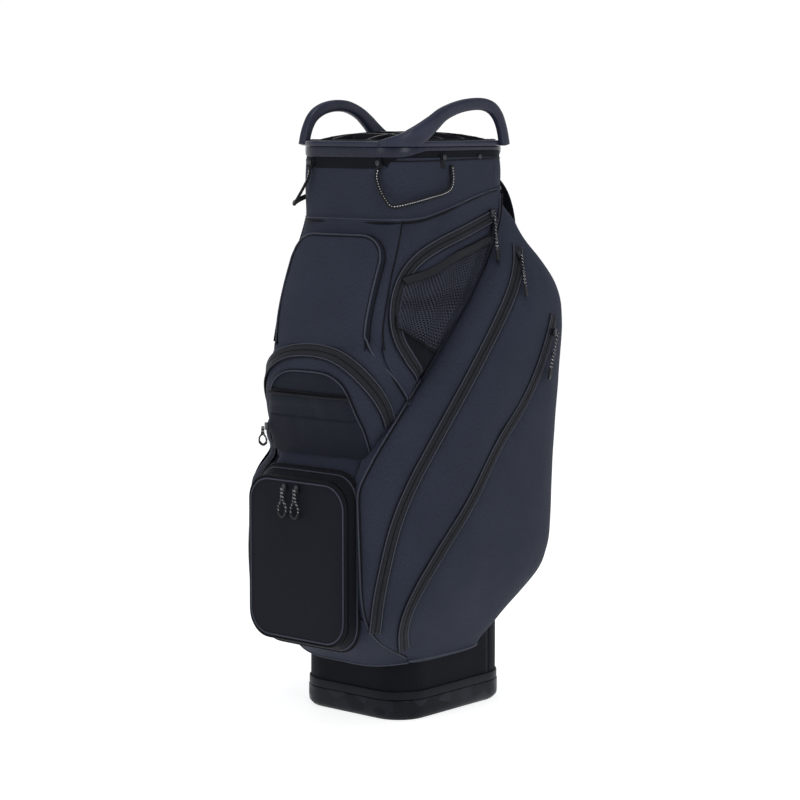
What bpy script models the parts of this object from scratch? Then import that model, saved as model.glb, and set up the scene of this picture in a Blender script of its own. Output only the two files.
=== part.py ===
"""Golf cart bag, free standing, built as named solids in metres with +Z up.

The origin is the centre of the base's bottom face.  The ball pocket faces -Y, the shoulder
strap is on the +Y spine, and the left side mirrors the right side in the plane x = 0.
"""
import bpy
import bmesh
import numpy as np
from math import sin, cos, pi, radians
from mathutils import Vector

# ---- driving dimensions -------------------------------------------------------------------
TUBE_W, TUBE_D, TUBE_R = 0.208, 0.245, 0.050      # outside of the carrying tube, in plan
TUBE_WALL, TUBE_TOP, FLOOR = 0.0025, 0.800, 0.003
FOOT_W, FOOT_D, FOOT_R, FOOT_H = 0.213, 0.250, 0.051, 0.030
TRIM_TOP = 0.0425
GAP = 0.0005                                      # air between neighbouring solids
RING_W, RING_D, RING_R = 0.214, 0.2575, 0.053     # collar and handle ring, outside
OPEN_W, OPEN_D, OPEN_R = 0.2005, 0.2440, 0.046    # clear opening of both rings
RING_LOW, RING_SIDE = 0.8125, 0.8220              # collar underside: front and back, sides
PART_Z, RING_TOP = 0.8270, 0.8345                 # parting line and top of the flange
BAND_LOW = 0.7965
CUFF_FRONT, CUFF_BACK = 0.720, 0.765
GRID_W, GRID_D, GRID_R = 0.1990, 0.2420, 0.0450
GRID_WALL, GRID_COLS, GRID_ROWS = 0.005, 3, 5
GRID_LOW, DOME = 0.8005, 0.016
SHEET_X, SHEET_T = 0.0335, 0.0015
HANDLE_H, HANDLE_T = 0.0170, 0.0165               # grip section: height and thickness
SPLIT_X = 0.0945                                  # front pockets inside, side pockets outside
SPINE_X, BACK_Y = 0.0690, 0.1225
BALL_LOW, BALL_TOP, BALL_X, BALL_Y = 0.112, 0.352, 0.0940, -0.2255
PANEL_T, SHELL_T = 0.0045, 0.0035
MID_LOW, MID_TOP = 0.385, 0.530
SIDE_TOP = 0.715
BACK_SQUARE, FRONT_SQUARE = 1.85, 0.90            # clothing pocket plan: 1 is an ellipse

# Plan shape of the clothing pocket by height: front edge y, back y, widest x.
POCKET_LEVELS = [
    (0.092, -0.105, 0.046, 0.117), (0.110, -0.150, 0.069, 0.125), (0.135, -0.188, 0.093, 0.138),
    (0.165, -0.207, 0.130, 0.154), (0.200, -0.212, 0.168, 0.170), (0.240, -0.213, 0.181, 0.179),
    (0.330, -0.213, 0.184, 0.181), (0.352, -0.212, 0.185, 0.181), (0.400, -0.186, 0.186, 0.182),
    (0.460, -0.137, 0.188, 0.183), (0.520, -0.082, 0.190, 0.184), (0.560, -0.046, 0.190, 0.184),
    (0.600, -0.006, 0.187, 0.181), (0.630, 0.021, 0.176, 0.172), (0.660, 0.047, 0.155, 0.156),
    (0.690, 0.066, 0.136, 0.131), (0.715, 0.077, 0.126, 0.116)]
# Upper front pocket: height, front y.  Middle pocket: height, half width, front y.
UPPER_LEVELS = [(0.5305, -0.178), (0.570, -0.178), (0.600, -0.171), (0.630, -0.161),
                (0.660, -0.147), (0.690, -0.134), (0.712, -0.1285)]
MID_LEVELS = [(0.385, 0.0938, -0.187), (0.415, 0.0938, -0.191), (0.430, 0.0985, -0.192),
              (0.450, 0.1070, -0.195), (0.475, 0.1130, -0.199), (0.500, 0.1150, -0.200),
              (0.520, 0.1130, -0.197), (0.530, 0.1080, -0.188)]

NAVY, INK, BLACK = (0.035, 0.042, 0.060), (0.020, 0.023, 0.032), (0.010, 0.010, 0.012)
STEEL, SLATE = (0.45, 0.45, 0.47), (0.070, 0.080, 0.105)


# ---- helpers ------------------------------------------------------------------------------
def material(name, colour, rough, metal=0.0):
    mat = bpy.data.materials.new(name)
    mat.use_nodes = True
    shader = mat.node_tree.nodes["Principled BSDF"]
    shader.inputs["Base Color"].default_value = (*colour, 1.0)
    shader.inputs["Roughness"].default_value = rough
    shader.inputs["Metallic"].default_value = metal
    return mat


def make(name, bm, colour, rough=0.6, metal=0.0, smooth=False, origin=(0, 0, 0)):
    """Turn a bmesh into an object whose origin is at the given point."""
    bmesh.ops.remove_doubles(bm, verts=bm.verts, dist=1e-6)
    bmesh.ops.recalc_face_normals(bm, faces=bm.faces)
    bmesh.ops.triangulate(bm, faces=bm.faces)
    off = Vector(origin)
    for v in bm.verts:
        v.co -= off
    mesh = bpy.data.meshes.new(name)
    bm.to_mesh(mesh)
    bm.free()
    obj = bpy.data.objects.new(name, mesh)
    obj.location = off
    bpy.context.collection.objects.link(obj)
    mesh.materials.append(material(name, colour, rough, metal))
    for poly in mesh.polygons:
        poly.use_smooth = smooth
    return obj


def loft_bm(rings, cap=True, wrap=False):
    """Skin a list of closed rings of points; cap the ends or wrap the last ring to the first."""
    bm = bmesh.new()
    rows = [[bm.verts.new(p) for p in ring] for ring in rings]
    pairs = list(zip(rows, rows[1:])) + ([(rows[-1], rows[0])] if wrap else [])
    for low, high in pairs:
        for i in range(len(low)):
            j = (i + 1) % len(low)
            bm.faces.new((low[i], low[j], high[j], high[i]))
    if cap and not wrap:
        bm.faces.new(rows[0])
        bm.faces.new(rows[-1])
    return bm


def rounded(width, depth, radius, n=7):
    """Plan outline of a rounded rectangle, anticlockwise from the +X side's +Y corner."""
    pts = []
    for sx, sy, a0 in ((1, 1, 0), (-1, 1, 90), (-1, -1, 180), (1, -1, 270)):
        for i in range(n + 1):
            a = radians(a0 + 90 * i / n)
            pts.append((sx * (width / 2 - radius) + radius * cos(a),
                        sy * (depth / 2 - radius) + radius * sin(a)))
    return pts


def band_bm(outer, inner, low, high):
    """Closed hoop between two plan outlines; low and high give z from a plan point."""
    rings = [[(*o, low(o)), (*o, high(o)), (*i, high(o)), (*i, low(o))]
             for o, i in zip(outer, inner)]
    return loft_bm(rings, wrap=True)


def flat(value):
    return lambda point: value


def smooth_step(t):
    t = min(1.0, max(0.0, t))
    return t * t * (3 - 2 * t)


def ease(table, z, column=1):
    return float(np.interp(z, [row[0] for row in table], [row[column] for row in table]))


def mirrored(rings):
    return [[(-x, y, z) for x, y, z in ring] for ring in rings]


def sweep_bm(path, sections):
    """Solid along a path; sections gives two in-section vectors and offsets per point."""
    rings = []
    for point, (across, up, shape) in zip(path, sections):
        rings.append([tuple(Vector(point) + across * a + up * b) for a, b in shape])
    return loft_bm(rings)


def oval(half_a, half_b, n=12, power=1.0):
    out = []
    for k in range(n):
        c, s = cos(2 * pi * k / n), sin(2 * pi * k / n)
        out.append((half_a * abs(c) ** power * (1 if c >= 0 else -1),
                    half_b * abs(s) ** power * (1 if s >= 0 else -1)))
    return out


def spline(points, count):
    """Catmull-Rom curve through points, resampled to count points."""
    pts = [2 * Vector(points[0]) - Vector(points[1])] + [Vector(p) for p in points]
    pts.append(2 * pts[-1] - pts[-2])
    out = []
    for k in range(count):
        t = k / (count - 1) * (len(points) - 1)
        i = min(int(t), len(points) - 2)
        f = t - i
        p0, p1, p2, p3 = pts[i:i + 4]
        out.append(0.5 * ((2 * p1) + (p2 - p0) * f + (2 * p0 - 5 * p1 + 4 * p2 - p3) * f * f
                          + (3 * p1 - p0 - 3 * p2 + p3) * f ** 3))
    return out


def strap_bm(path, normals, width, thick):
    """Flat webbing along a path, its flat side facing along the normals."""
    rings = []
    for k, point in enumerate(path):
        ahead = path[min(k + 1, len(path) - 1)] - path[max(k - 1, 0)]
        n = Vector(normals[k]).normalized()
        side = ahead.cross(n).normalized()
        n = side.cross(ahead).normalized()
        rings.append([tuple(point + side * a * width / 2 + n * b * thick / 2)
                      for a, b in ((-1, -1), (1, -1), (1, 1), (-1, 1))])
    return loft_bm(rings)


def box_bm(low, high, chamfer=0.0):
    xs, ys, zs = zip(low, high)
    bm = bmesh.new()
    bmesh.ops.create_cube(bm, size=1.0)
    for v in bm.verts:
        v.co = Vector([a[0] + (a[1] - a[0]) * (c + 0.5) for a, c in zip((xs, ys, zs), v.co)])
    if chamfer:
        bmesh.ops.bevel(bm, geom=bm.edges[:], offset=chamfer, segments=1, affect="EDGES")
    return bm


def boolean(target, cutter, operation):
    mod = target.modifiers.new("cut", "BOOLEAN")
    mod.object, mod.operation, mod.solver = cutter, operation, "EXACT"
    graph = bpy.context.evaluated_depsgraph_get()
    mesh = bpy.data.meshes.new_from_object(target.evaluated_get(graph))
    target.modifiers.clear()
    target.data = mesh
    bpy.data.objects.remove(cutter)


def hollow_for_tube(obj, off=0.0008):
    """Cut the space of the carrying tube, with a little air round it, out of a pocket."""
    plan = rounded(TUBE_W + 2 * off, TUBE_D + 2 * off, TUBE_R + off)
    cutter = make("cutter", loft_bm([[(*p, 0.045) for p in plan], [(*p, 0.790) for p in plan]]),
                  NAVY)
    cutter.hide_render, cutter.display_type = True, "WIRE"
    boolean(obj, cutter, "DIFFERENCE")


# ---- clear the scene ----------------------------------------------------------------------
for old in list(bpy.data.objects):
    bpy.data.objects.remove(old)

# ---- base, tube and dividers --------------------------------------------------------------
foot = [[(*p, z) for p in rounded(FOOT_W - 2 * i, FOOT_D - 2 * i, FOOT_R - i)]
        for z, i in ((0.0, 0.006), (0.006, 0.0005), (0.012, 0.0), (FOOT_H, 0.0))]
make("base_foot", loft_bm(foot), SLATE, 0.45)

outer = rounded(TUBE_W, TUBE_D, TUBE_R)
inner = rounded(TUBE_W - 2 * TUBE_WALL, TUBE_D - 2 * TUBE_WALL, TUBE_R - TUBE_WALL)
tube_low = FOOT_H + GAP
make("body_tube", loft_bm([[(*p, tube_low) for p in outer], [(*p, TUBE_TOP) for p in outer],
                           [(*p, TUBE_TOP) for p in inner],
                           [(*p, tube_low + FLOOR) for p in inner]]), NAVY, 0.8)

snug = rounded(TUBE_W + 2 * GAP, TUBE_D + 2 * GAP, TUBE_R + GAP)
make("base_trim_band", band_bm(rounded(0.2125, 0.2495, 0.0522), snug, flat(tube_low),
                               flat(TRIM_TOP)), BLACK, 0.6)

for side, name in ((1, "divider_sheet_right"), (-1, "divider_sheet_left")):
    x = side * SHEET_X
    make(name, box_bm((x - SHEET_T / 2, -0.1180, tube_low + FLOOR + GAP),
                      (x + SHEET_T / 2, 0.1180, TUBE_TOP - GAP)), BLACK, 0.8)

# The divider grid is a rounded block less one prism per club slot.
block = make("divider_grid", loft_bm([[(*p, GRID_LOW) for p in rounded(GRID_W, GRID_D, GRID_R)],
                                      [(*p, RING_TOP) for p in rounded(GRID_W, GRID_D, GRID_R)]]),
             INK, 0.5)
in_w, in_d = GRID_W - 2 * GRID_WALL, GRID_D - 2 * GRID_WALL
cell_y = (in_d - (GRID_ROWS - 1) * GRID_WALL) / GRID_ROWS
half = GRID_WALL / 2
columns = [(-in_w / 2, -SHEET_X - half), (-SHEET_X + half, SHEET_X - half),
           (SHEET_X + half, in_w / 2)]
turn = GRID_R - GRID_WALL


def slot_outline(x0, x1, y0, y1):
    """Cell outline; a cell at a corner of the grid follows the rim's inner radius."""
    pts = []
    for cx, cy, a0 in ((x1, y1, 0), (x0, y1, 90), (x0, y0, 180), (x1, y0, 270)):
        corner = abs(abs(cx) - in_w / 2) < 1e-6 and abs(abs(cy) - in_d / 2) < 1e-6
        r = turn if corner else 0.004
        r = min(r, 0.036)
        for i in range(5):
            a = radians(a0 + 22.5 * i)
            sx, sy = (1 if a0 in (0, 270) else -1), (1 if a0 in (0, 90) else -1)
            pts.append((cx - sx * r + r * cos(a), cy - sy * r + r * sin(a)))
    return pts


slots = []
for x0, x1 in columns:
    for row in range(GRID_ROWS):
        y0 = -in_d / 2 + row * (cell_y + GRID_WALL)
        slots.append((x0, x1, y0, y0 + cell_y))
        ring = slot_outline(x0, x1, y0, y0 + cell_y)
        cutter = make("cutter", loft_bm([[(*p, GRID_LOW - 0.01) for p in ring],
                                         [(*p, RING_TOP + 0.01) for p in ring]]), INK)
        cutter.hide_render, cutter.display_type = True, "WIRE"
        boolean(block, cutter, "DIFFERENCE")
for v in block.data.vertices:
    if v.co.z > RING_TOP - 0.001:
        fade = (1 - (v.co.x / (GRID_W / 2)) ** 2) * (1 - (v.co.y / (GRID_D / 2)) ** 2)
        v.co.z += DOME * max(0.0, fade) ** 0.5 - 0.001

# ---- collar: black band, ring, and the ring that carries both handles ---------------------
ring_out, ring_in = rounded(RING_W, RING_D, RING_R), rounded(OPEN_W, OPEN_D, OPEN_R)


def ring_under(point):
    """The collar's underside is low on the front and back and steps up along the sides."""
    x, y = point
    turned = y if x > 0 else -y
    on_side = smooth_step((abs(x) - 0.080) / 0.024)
    rise = smooth_step((turned + 0.118) / 0.050) if turned < 0.09 else 1.0
    return RING_LOW + (RING_SIDE - RING_LOW) * on_side * rise


make("cuff_band", band_bm(rounded(0.2112, 0.2540, 0.0525), rounded(0.2090, 0.2460, 0.0505),
                          flat(BAND_LOW), lambda p: ring_under(p) - GAP), BLACK, 0.35)
make("collar_ring", band_bm(ring_out, ring_in, ring_under, flat(PART_Z)), SLATE, 0.35)

# Right grip: rises gradually from the front corner, peaks behind centre, drops at the back.
GRIP = [(0.0905, -0.1130, 0.8300), (0.0985, -0.1000, 0.8420), (0.1030, -0.0800, 0.8540),
        (0.1050, -0.0500, 0.8700), (0.1055, -0.0150, 0.8825), (0.1058, 0.0200, 0.8885),
        (0.1062, 0.0480, 0.8880), (0.1072, 0.0700, 0.8780), (0.1082, 0.0850, 0.8600),
        (0.1085, 0.0920, 0.8350)]
ring = make("handle_ring", band_bm(ring_out, ring_in, flat(PART_Z + 0.0003), flat(RING_TOP)),
            SLATE, 0.35)
for side in (1, -1):
    path = [Vector((side * p.x, side * p.y, p.z)) for p in spline(GRIP, 20)]
    sections = []
    for k, point in enumerate(path):
        ahead = (path[min(k + 1, 19)] - path[max(k - 1, 0)]).normalized()
        across = Vector((side, 0, 0))
        across = (across - ahead * across.dot(ahead)).normalized()
        up = ahead.cross(across)
        lean = smooth_step(min(k, 19 - k) / 3.0)
        sections.append((across, up, oval(HANDLE_T / 2, HANDLE_H / 2 * (0.8 + 0.2 * lean),
                                          10, 0.8)))
    bm = sweep_bm(path, sections)
    for v in bm.verts:
        v.co.z = max(v.co.z, PART_Z + 0.0020)
    grip = make("cutter", bm, SLATE)
    boolean(ring, grip, "UNION")
within = rounded(OPEN_W - 0.0004, OPEN_D - 0.0004, OPEN_R - 0.0002)
clear = make("cutter", loft_bm([[(*p, PART_Z - 0.005) for p in within],
                                [(*p, RING_TOP + DOME) for p in within]]), SLATE)
clear.hide_render, clear.display_type = True, "WIRE"
boolean(ring, clear, "DIFFERENCE")

# ---- screws round the band ----------------------------------------------------------------
SCREW_R, SCREW_T = 0.0040, 0.0022


def screw(name, x, y, z, nx, ny):
    out = Vector((nx, ny, 0))
    side = Vector((-ny, nx, 0))
    shape = [(SCREW_R * cos(pi * k / 6), SCREW_R * sin(pi * k / 6)) for k in range(12)]
    tip = [(0.6 * a, 0.6 * b) for a, b in shape]
    rings = [[tuple(Vector((x, y, z)) + out * d + side * a + Vector((0, 0, b)))
              for a, b in s] for d, s in ((0, shape), (SCREW_T * 0.6, shape), (SCREW_T, tip))]
    make(name, loft_bm(rings), STEEL, 0.35, 1.0)


BAND_FRONT, BAND_SIDE, STRAP_T = 0.1270, 0.1056, 0.0022
lift = GAP + STRAP_T + GAP + 0.0010
FRONT_SCREW_X, FRONT_SCREW_Z = 0.066, 0.8050
SIDE_SCREW_Y, SIDE_SCREW_Z = (-0.038, 0.046), 0.8125
screw("screw_front_right", FRONT_SCREW_X, -BAND_FRONT - lift, FRONT_SCREW_Z, 0, -1)
screw("screw_front_left", -FRONT_SCREW_X, -BAND_FRONT - lift, FRONT_SCREW_Z, 0, -1)
screw("screw_right_front", BAND_SIDE + lift, SIDE_SCREW_Y[0], SIDE_SCREW_Z, 1, 0)
screw("screw_left_front", -BAND_SIDE - lift, SIDE_SCREW_Y[0], SIDE_SCREW_Z, -1, 0)
screw("screw_right_back", BAND_SIDE + GAP, SIDE_SCREW_Y[1], SIDE_SCREW_Z, 1, 0)
screw("screw_left_back", -BAND_SIDE - GAP, SIDE_SCREW_Y[1], SIDE_SCREW_Z, -1, 0)
screw("screw_back_right", FRONT_SCREW_X, BAND_FRONT + GAP, FRONT_SCREW_Z, 0, 1)
screw("screw_back_left", -FRONT_SCREW_X, BAND_FRONT + GAP, FRONT_SCREW_Z, 0, 1)

# ---- corner grab loops, hung from a front screw and a side screw --------------------------
LOOP_W, LOOP_TOP = 0.010, 0.7935
fy, sx = -(BAND_FRONT + GAP + STRAP_T / 2), BAND_SIDE + GAP + STRAP_T / 2
LOOP = [(0.0705, fy - 0.0012, LOOP_TOP), (0.0760, fy - 0.0024, 0.7850),
        (0.0845, fy - 0.0030, 0.7705), (0.0935, fy - 0.0020, 0.7560),
        (0.1050, -0.1200, 0.7490), (0.1110, -0.1020, 0.7500), (0.1130, -0.0750, 0.7560),
        (0.1130, -0.0520, 0.7630), (0.1120, -0.0420, 0.7720), (0.1100, -0.0385, 0.7840),
        (sx + 0.0012, -0.0380, LOOP_TOP)]
for side, name in ((1, "right"), (-1, "left")):
    path = [Vector((side * p.x, p.y, p.z)) for p in spline(LOOP, 31)]
    normals = []
    for p in path:
        turn_in = smooth_step((p.y + 0.124) / 0.030)
        normals.append((side * turn_in, -(1 - turn_in), 0))
    pivot = tuple((path[0] + path[-1]) / 2)
    make("grab_loop_" + name, strap_bm(path, normals, LOOP_W, STRAP_T), BLACK, 0.7, origin=pivot)
    # The sewn ends of the loop, held flat on the band by a screw each.
    tab = [Vector((side * x, fy, z)) for x, z in ((0.0690, 0.7965), (0.0635, 0.8095))]
    make("loop_end_front_" + name, strap_bm(tab, [(0, -1, 0)] * 2, LOOP_W, STRAP_T), BLACK, 0.7)
    tab = [Vector((side * sx, SIDE_SCREW_Y[0], z)) for z in (0.7965, 0.8170)]
    make("loop_end_side_" + name, strap_bm(tab, [(side, 0, 0)] * 2, LOOP_W, STRAP_T), BLACK, 0.7)

# ---- fabric cuff --------------------------------------------------------------------------
def cuff_edge(point):
    return CUFF_FRONT + (CUFF_BACK - CUFF_FRONT) * smooth_step((point[1] + 0.12) / 0.24)


make("cuff", band_bm(rounded(0.2130, 0.2520, 0.0525), snug, cuff_edge,
                     flat(BAND_LOW - GAP)), NAVY, 0.85)


# ---- side pockets -------------------------------------------------------------------------
def edge_x(z):
    """How far out the clothing pocket's front edge stands from the centre plane."""
    return float(np.interp(z, [0.092, 0.352, 0.42, 0.50, 0.60, 0.68, 0.715],
                           [0.109, 0.098, 0.1135, 0.120, 0.121, 0.1155, 0.1105]))


def pocket_point(z, t):
    """Plan point on the clothing pocket at height z; t runs from its front edge to the spine."""
    y0, y1, x1 = (ease(POCKET_LEVELS, z, c) for c in (1, 2, 3))
    a = pi * t
    base = edge_x(z) if t < 0.5 else SPINE_X + 0.003
    power = 1 / (FRONT_SQUARE if t < 0.5 else BACK_SQUARE)
    c = cos(a)
    return (base + (x1 - base) * max(0.0, sin(a)) ** power,
            (y0 + y1) / 2 - (y1 - y0) / 2 * abs(c) ** power * (1 if c > 0 else -1))


def pocket_outer(z, n=15):
    """Outside of the clothing pocket at height z, from its front edge to the spine."""
    return [pocket_point(z, k / (n - 1)) for k in range(n)]


def pocket_inner(y0, y1):
    """Inside of a side pocket from y1 back to y0; the tube's own shape is cut out later."""
    back_x = SPINE_X + 0.0020
    return [(back_x, y1), (back_x, y0 + (y1 - y0) * 0.66), (SPLIT_X, y0 + (y1 - y0) * 0.58),
            (SPLIT_X, y0)]


def crescent(z, outer_pts, inner_pts):
    return [(x, y, z) for x, y in outer_pts + inner_pts]


clothing = []
for level in POCKET_LEVELS:
    z = level[0]
    skin = pocket_outer(z)
    inside = pocket_inner(level[1] + 0.0001, level[2] - 0.0001)
    clothing.append(crescent(z, skin, inside))
hollow_for_tube(make("apparel_pocket_right", loft_bm(clothing), NAVY, 0.85))
hollow_for_tube(make("apparel_pocket_left", loft_bm(mirrored(clothing)), NAVY, 0.85))

SIDE_LEVELS = (0.531, 0.560, 0.590, 0.620, 0.650, 0.680, 0.700, 0.715)
MESH_LEVELS = SIDE_LEVELS[1:5]
SIDE_N = 13


def side_outer(z, n=SIDE_N):
    """Outside of the upper side pocket at height z, from the front corner to the diagonal."""
    y0 = -0.168 + 0.045 * smooth_step((z - 0.62) / 0.095)
    y1 = ease(POCKET_LEVELS, z) - 0.003
    x0 = 0.100 + 0.004 * smooth_step((0.62 - z) / 0.08)
    x1 = min(edge_x(z) + 0.001, 0.1205)
    top = smooth_step((z - 0.66) / 0.055)
    pts = []
    for k in range(n):
        t = k / (n - 1)
        bulge = (0.0105 - 0.006 * top) * sin(pi * min(1.0, t * 1.02)) ** 0.7
        pts.append((x0 + (x1 - x0) * smooth_step(t * 1.6) + bulge, y0 + (y1 - y0) * t))
    return pts


def pushed(pts, off):
    """An open outline moved outward, to the right of its direction of travel."""
    out = []
    for k, (x, y) in enumerate(pts):
        xa, ya = pts[max(k - 1, 0)]
        xb, yb = pts[min(k + 1, len(pts) - 1)]
        n = Vector((yb - ya, xa - xb)).normalized() * off
        out.append((x + n.x, y + n.y))
    return out


side_rings, mesh_rings = [], []
for z in SIDE_LEVELS:
    skin = side_outer(z)
    y0, y1 = skin[0][1], skin[-1][1]
    side_rings.append(crescent(z, skin, [(SPLIT_X, y1), (SPLIT_X, y0 + 0.0001)]))
for z in MESH_LEVELS:
    near, far = (pushed(side_outer(z), off)[1:-1] for off in (0.0015, 0.0100))
    mesh_rings.append(crescent(z, far, near[::-1]))
hollow_for_tube(make("side_pocket_right", loft_bm(side_rings), NAVY, 0.85))
hollow_for_tube(make("side_pocket_left", loft_bm(mirrored(side_rings)), NAVY, 0.85))
make("mesh_pocket_right", loft_bm(mesh_rings), BLACK, 0.9)
make("mesh_pocket_left", loft_bm(mirrored(mesh_rings)), BLACK, 0.9)


# ---- front pockets ------------------------------------------------------------------------
def front_face_line(half_x, y_front, radius, n=5):
    """Front of a pocket, from left to right, with rounded vertical corners."""
    pts = []
    for i in range(n + 1):
        a = radians(180 + 90 * i / n)
        pts.append((-half_x + radius + radius * cos(a), y_front + radius + radius * sin(a)))
    for i in range(n + 1):
        a = radians(270 + 90 * i / n)
        pts.append((half_x - radius + radius * cos(a), y_front + radius + radius * sin(a)))
    return pts


upper = []
for z, y in UPPER_LEVELS:
    radius = min(0.020, max(0.004, (-y - 0.108) * 0.5))
    upper.append(crescent(z, front_face_line(SPLIT_X - GAP, y, radius),
                          [(SPLIT_X - GAP, -0.090), (GAP - SPLIT_X, -0.090)]))
hollow_for_tube(make("upper_front_pocket", loft_bm(upper), NAVY, 0.85))

middle = []
for z, half_x, y in MID_LEVELS:
    back = ease(POCKET_LEVELS, max(z, 0.415)) - 0.002
    face = front_face_line(half_x, y, min(0.034, back - y - 0.004))
    middle.append(crescent(z, [(-half_x, back)] + face + [(half_x, back)],
                           [(0.0940, back + 0.0001), (0.0940, -0.090), (-0.0940, -0.090),
                            (-0.0940, back + 0.0001)]))
hollow_for_tube(make("middle_pocket", loft_bm(middle), NAVY, 0.85))

pouch = []
for z, y in ((0.389, -0.1935), (0.430, -0.1975), (0.470, -0.2045), (0.497, -0.2065)):
    half_x = 0.076 if z > 0.40 else 0.070
    pouch.append([(-half_x, y, z), (half_x, y, z), (half_x, y - 0.007, z), (-half_x, y - 0.007, z)])
make("slot_pouch", loft_bm(pouch), NAVY, 0.85)

# Ball pocket: an open-fronted shell closed by a panel hinged along its bottom edge.
mid_z = (BALL_LOW + BALL_TOP) / 2
def shell_ring(y, inset, top):
    height = top - BALL_LOW
    return [(x, y, BALL_LOW + height / 2 + z)
            for x, z in rounded(2 * (BALL_X - inset), height - 2 * inset, 0.022 - inset, 5)]


make("ball_pocket", loft_bm([shell_ring(-0.1240, 0.0, 0.376), shell_ring(BALL_Y, 0.0, BALL_TOP),
                             shell_ring(BALL_Y, SHELL_T, BALL_TOP),
                             shell_ring(-0.1280, SHELL_T, 0.375)]), NAVY, 0.85)
panel_y = BALL_Y - GAP
panel = [shell_ring(panel_y, 0.0, BALL_TOP), shell_ring(panel_y - 0.0025, 0.0, BALL_TOP),
         shell_ring(panel_y - PANEL_T, 0.006, BALL_TOP)]
make("ball_pocket_panel", loft_bm(panel), NAVY, 0.85, origin=(0, panel_y, BALL_LOW))

apron = []
for z, y, half_x in ((0.078, -0.1290, 0.070), (0.090, -0.150, 0.078), (0.1110, -0.198, 0.088)):
    apron.append(crescent(z, front_face_line(half_x, y, 0.003),
                          [(half_x, -0.100), (-half_x, -0.100)]))
hollow_for_tube(make("lower_apron", loft_bm(apron), BLACK, 0.8))

# ---- spine, strap and handle at the back --------------------------------------------------
make("spine_panel", box_bm((-SPINE_X, BACK_Y + GAP, 0.076), (SPINE_X, 0.1310, 0.7180), 0.002),
     INK, 0.85)
STRAP_X = 0.036
STRAP = [(STRAP_X, 0.1375, 0.7760), (STRAP_X, 0.1500, 0.7450), (STRAP_X, 0.1580, 0.7000),
         (STRAP_X, 0.1620, 0.6000), (STRAP_X, 0.1620, 0.5000), (STRAP_X, 0.1560, 0.4000),
         (STRAP_X, 0.1400, 0.3350)]
path = spline(STRAP, 22)
rings = []
for k, p in enumerate(path):
    ahead = (path[min(k + 1, 21)] - path[max(k - 1, 0)]).normalized()
    up = Vector((1, 0, 0)).cross(ahead).normalized()
    wide = 0.014 + 0.015 * smooth_step(min(k, 21 - k) / 4.0)
    deep = 0.0020 + 0.0040 * smooth_step(min(k, 21 - k) / 4.0)
    rings.append([tuple(p + Vector((a, 0, 0)) + up * b) for a, b in oval(wide, deep, 10, 0.7)])
make("shoulder_strap", loft_bm(rings), BLACK, 0.8)

for name, z in (("strap_anchor_top", 0.7840), ("strap_anchor_bottom", 0.3180)):
    y = BACK_Y + 0.0095 if z < 0.5 else BACK_Y + 0.0045
    make(name, box_bm((STRAP_X - 0.015, y + 0.0005, z - 0.009), (STRAP_X + 0.015, y + 0.0070,
                                                              z + 0.009), 0.001), BLACK, 0.6)
grab = [(-0.036, 0.1335, 0.5900), (-0.036, 0.1400, 0.5800), (-0.036, 0.1520, 0.5600),
        (-0.036, 0.1560, 0.5300), (-0.036, 0.1560, 0.5000), (-0.036, 0.1520, 0.4700),
        (-0.036, 0.1400, 0.4500), (-0.036, 0.1335, 0.4400)]
path = spline(grab, 17)
make("spine_handle", strap_bm(path, [(0, 1, 0)] * 17, 0.026, 0.0036), BLACK, 0.7,
     origin=(-0.036, 0.1335, 0.515))

# ---- zip sliders and pulls ----------------------------------------------------------------
PULL_LEN = 0.070


def slider(tag, skin, drop_dir, hang=PULL_LEN):
    """A zip slider lying on a pocket at skin[0], and the pull hanging in front of the skin.

    skin lists the points the pull hangs past, from the slider down; drop_dir is the zip's line.
    """
    top, low, out = skin
    along = Vector(drop_dir).normalized()
    side = along.cross(out).normalized()
    out = side.cross(along).normalized()
    centre = top + out * 0.0036
    shape = ((-0.0028, -0.0055), (0.0028, -0.0055), (0.0040, 0.0055), (-0.0040, 0.0055))
    rings = [[tuple(centre + out * d + side * a + along * b) for a, b in shape]
             for d in (-0.0022, 0.0022)]
    make("zip_slider_" + tag, loft_bm(rings), STEEL, 0.35, 0.8, origin=tuple(centre))
    pivot = centre + out * 0.0056
    hung = (low - pivot).normalized()
    across = hung.cross(out).normalized()
    front = across.cross(hung).normalized()
    rings = []
    for drop, wide, deep in ((-0.001, 0.0012, 0.0010), (0.002, 0.0016, 0.0014),
                             (hang * 0.62, 0.0018, 0.0015), (hang * 0.68, 0.0034, 0.0018),
                             (hang * 0.95, 0.0040, 0.0018), (hang, 0.0026, 0.0012)):
        rings.append([tuple(pivot + across * a + front * b + hung * drop)
                      for a, b in oval(wide, deep, 8)])
    make("zip_pull_" + tag, loft_bm(rings), BLACK, 0.6, origin=tuple(pivot))


def pocket_skin(side, z, t, hang=PULL_LEN, clear=0.0100):
    """Slider point, lowest pull point and outward direction on a clothing pocket."""
    (xa, ya), (xb, yb) = pocket_point(z, t - 0.02), pocket_point(z, t + 0.02)
    out = Vector((yb - ya, xa - xb, 0)).normalized()
    x, y = pocket_point(z, t)
    top = Vector((x, y, z)) + out * 0.0008
    x, y = pocket_point(z - hang, t)
    low = Vector((x, y, z - hang)) + out * clear
    for v in (top, low, out):
        v.x *= side
    return top, low, out


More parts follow.
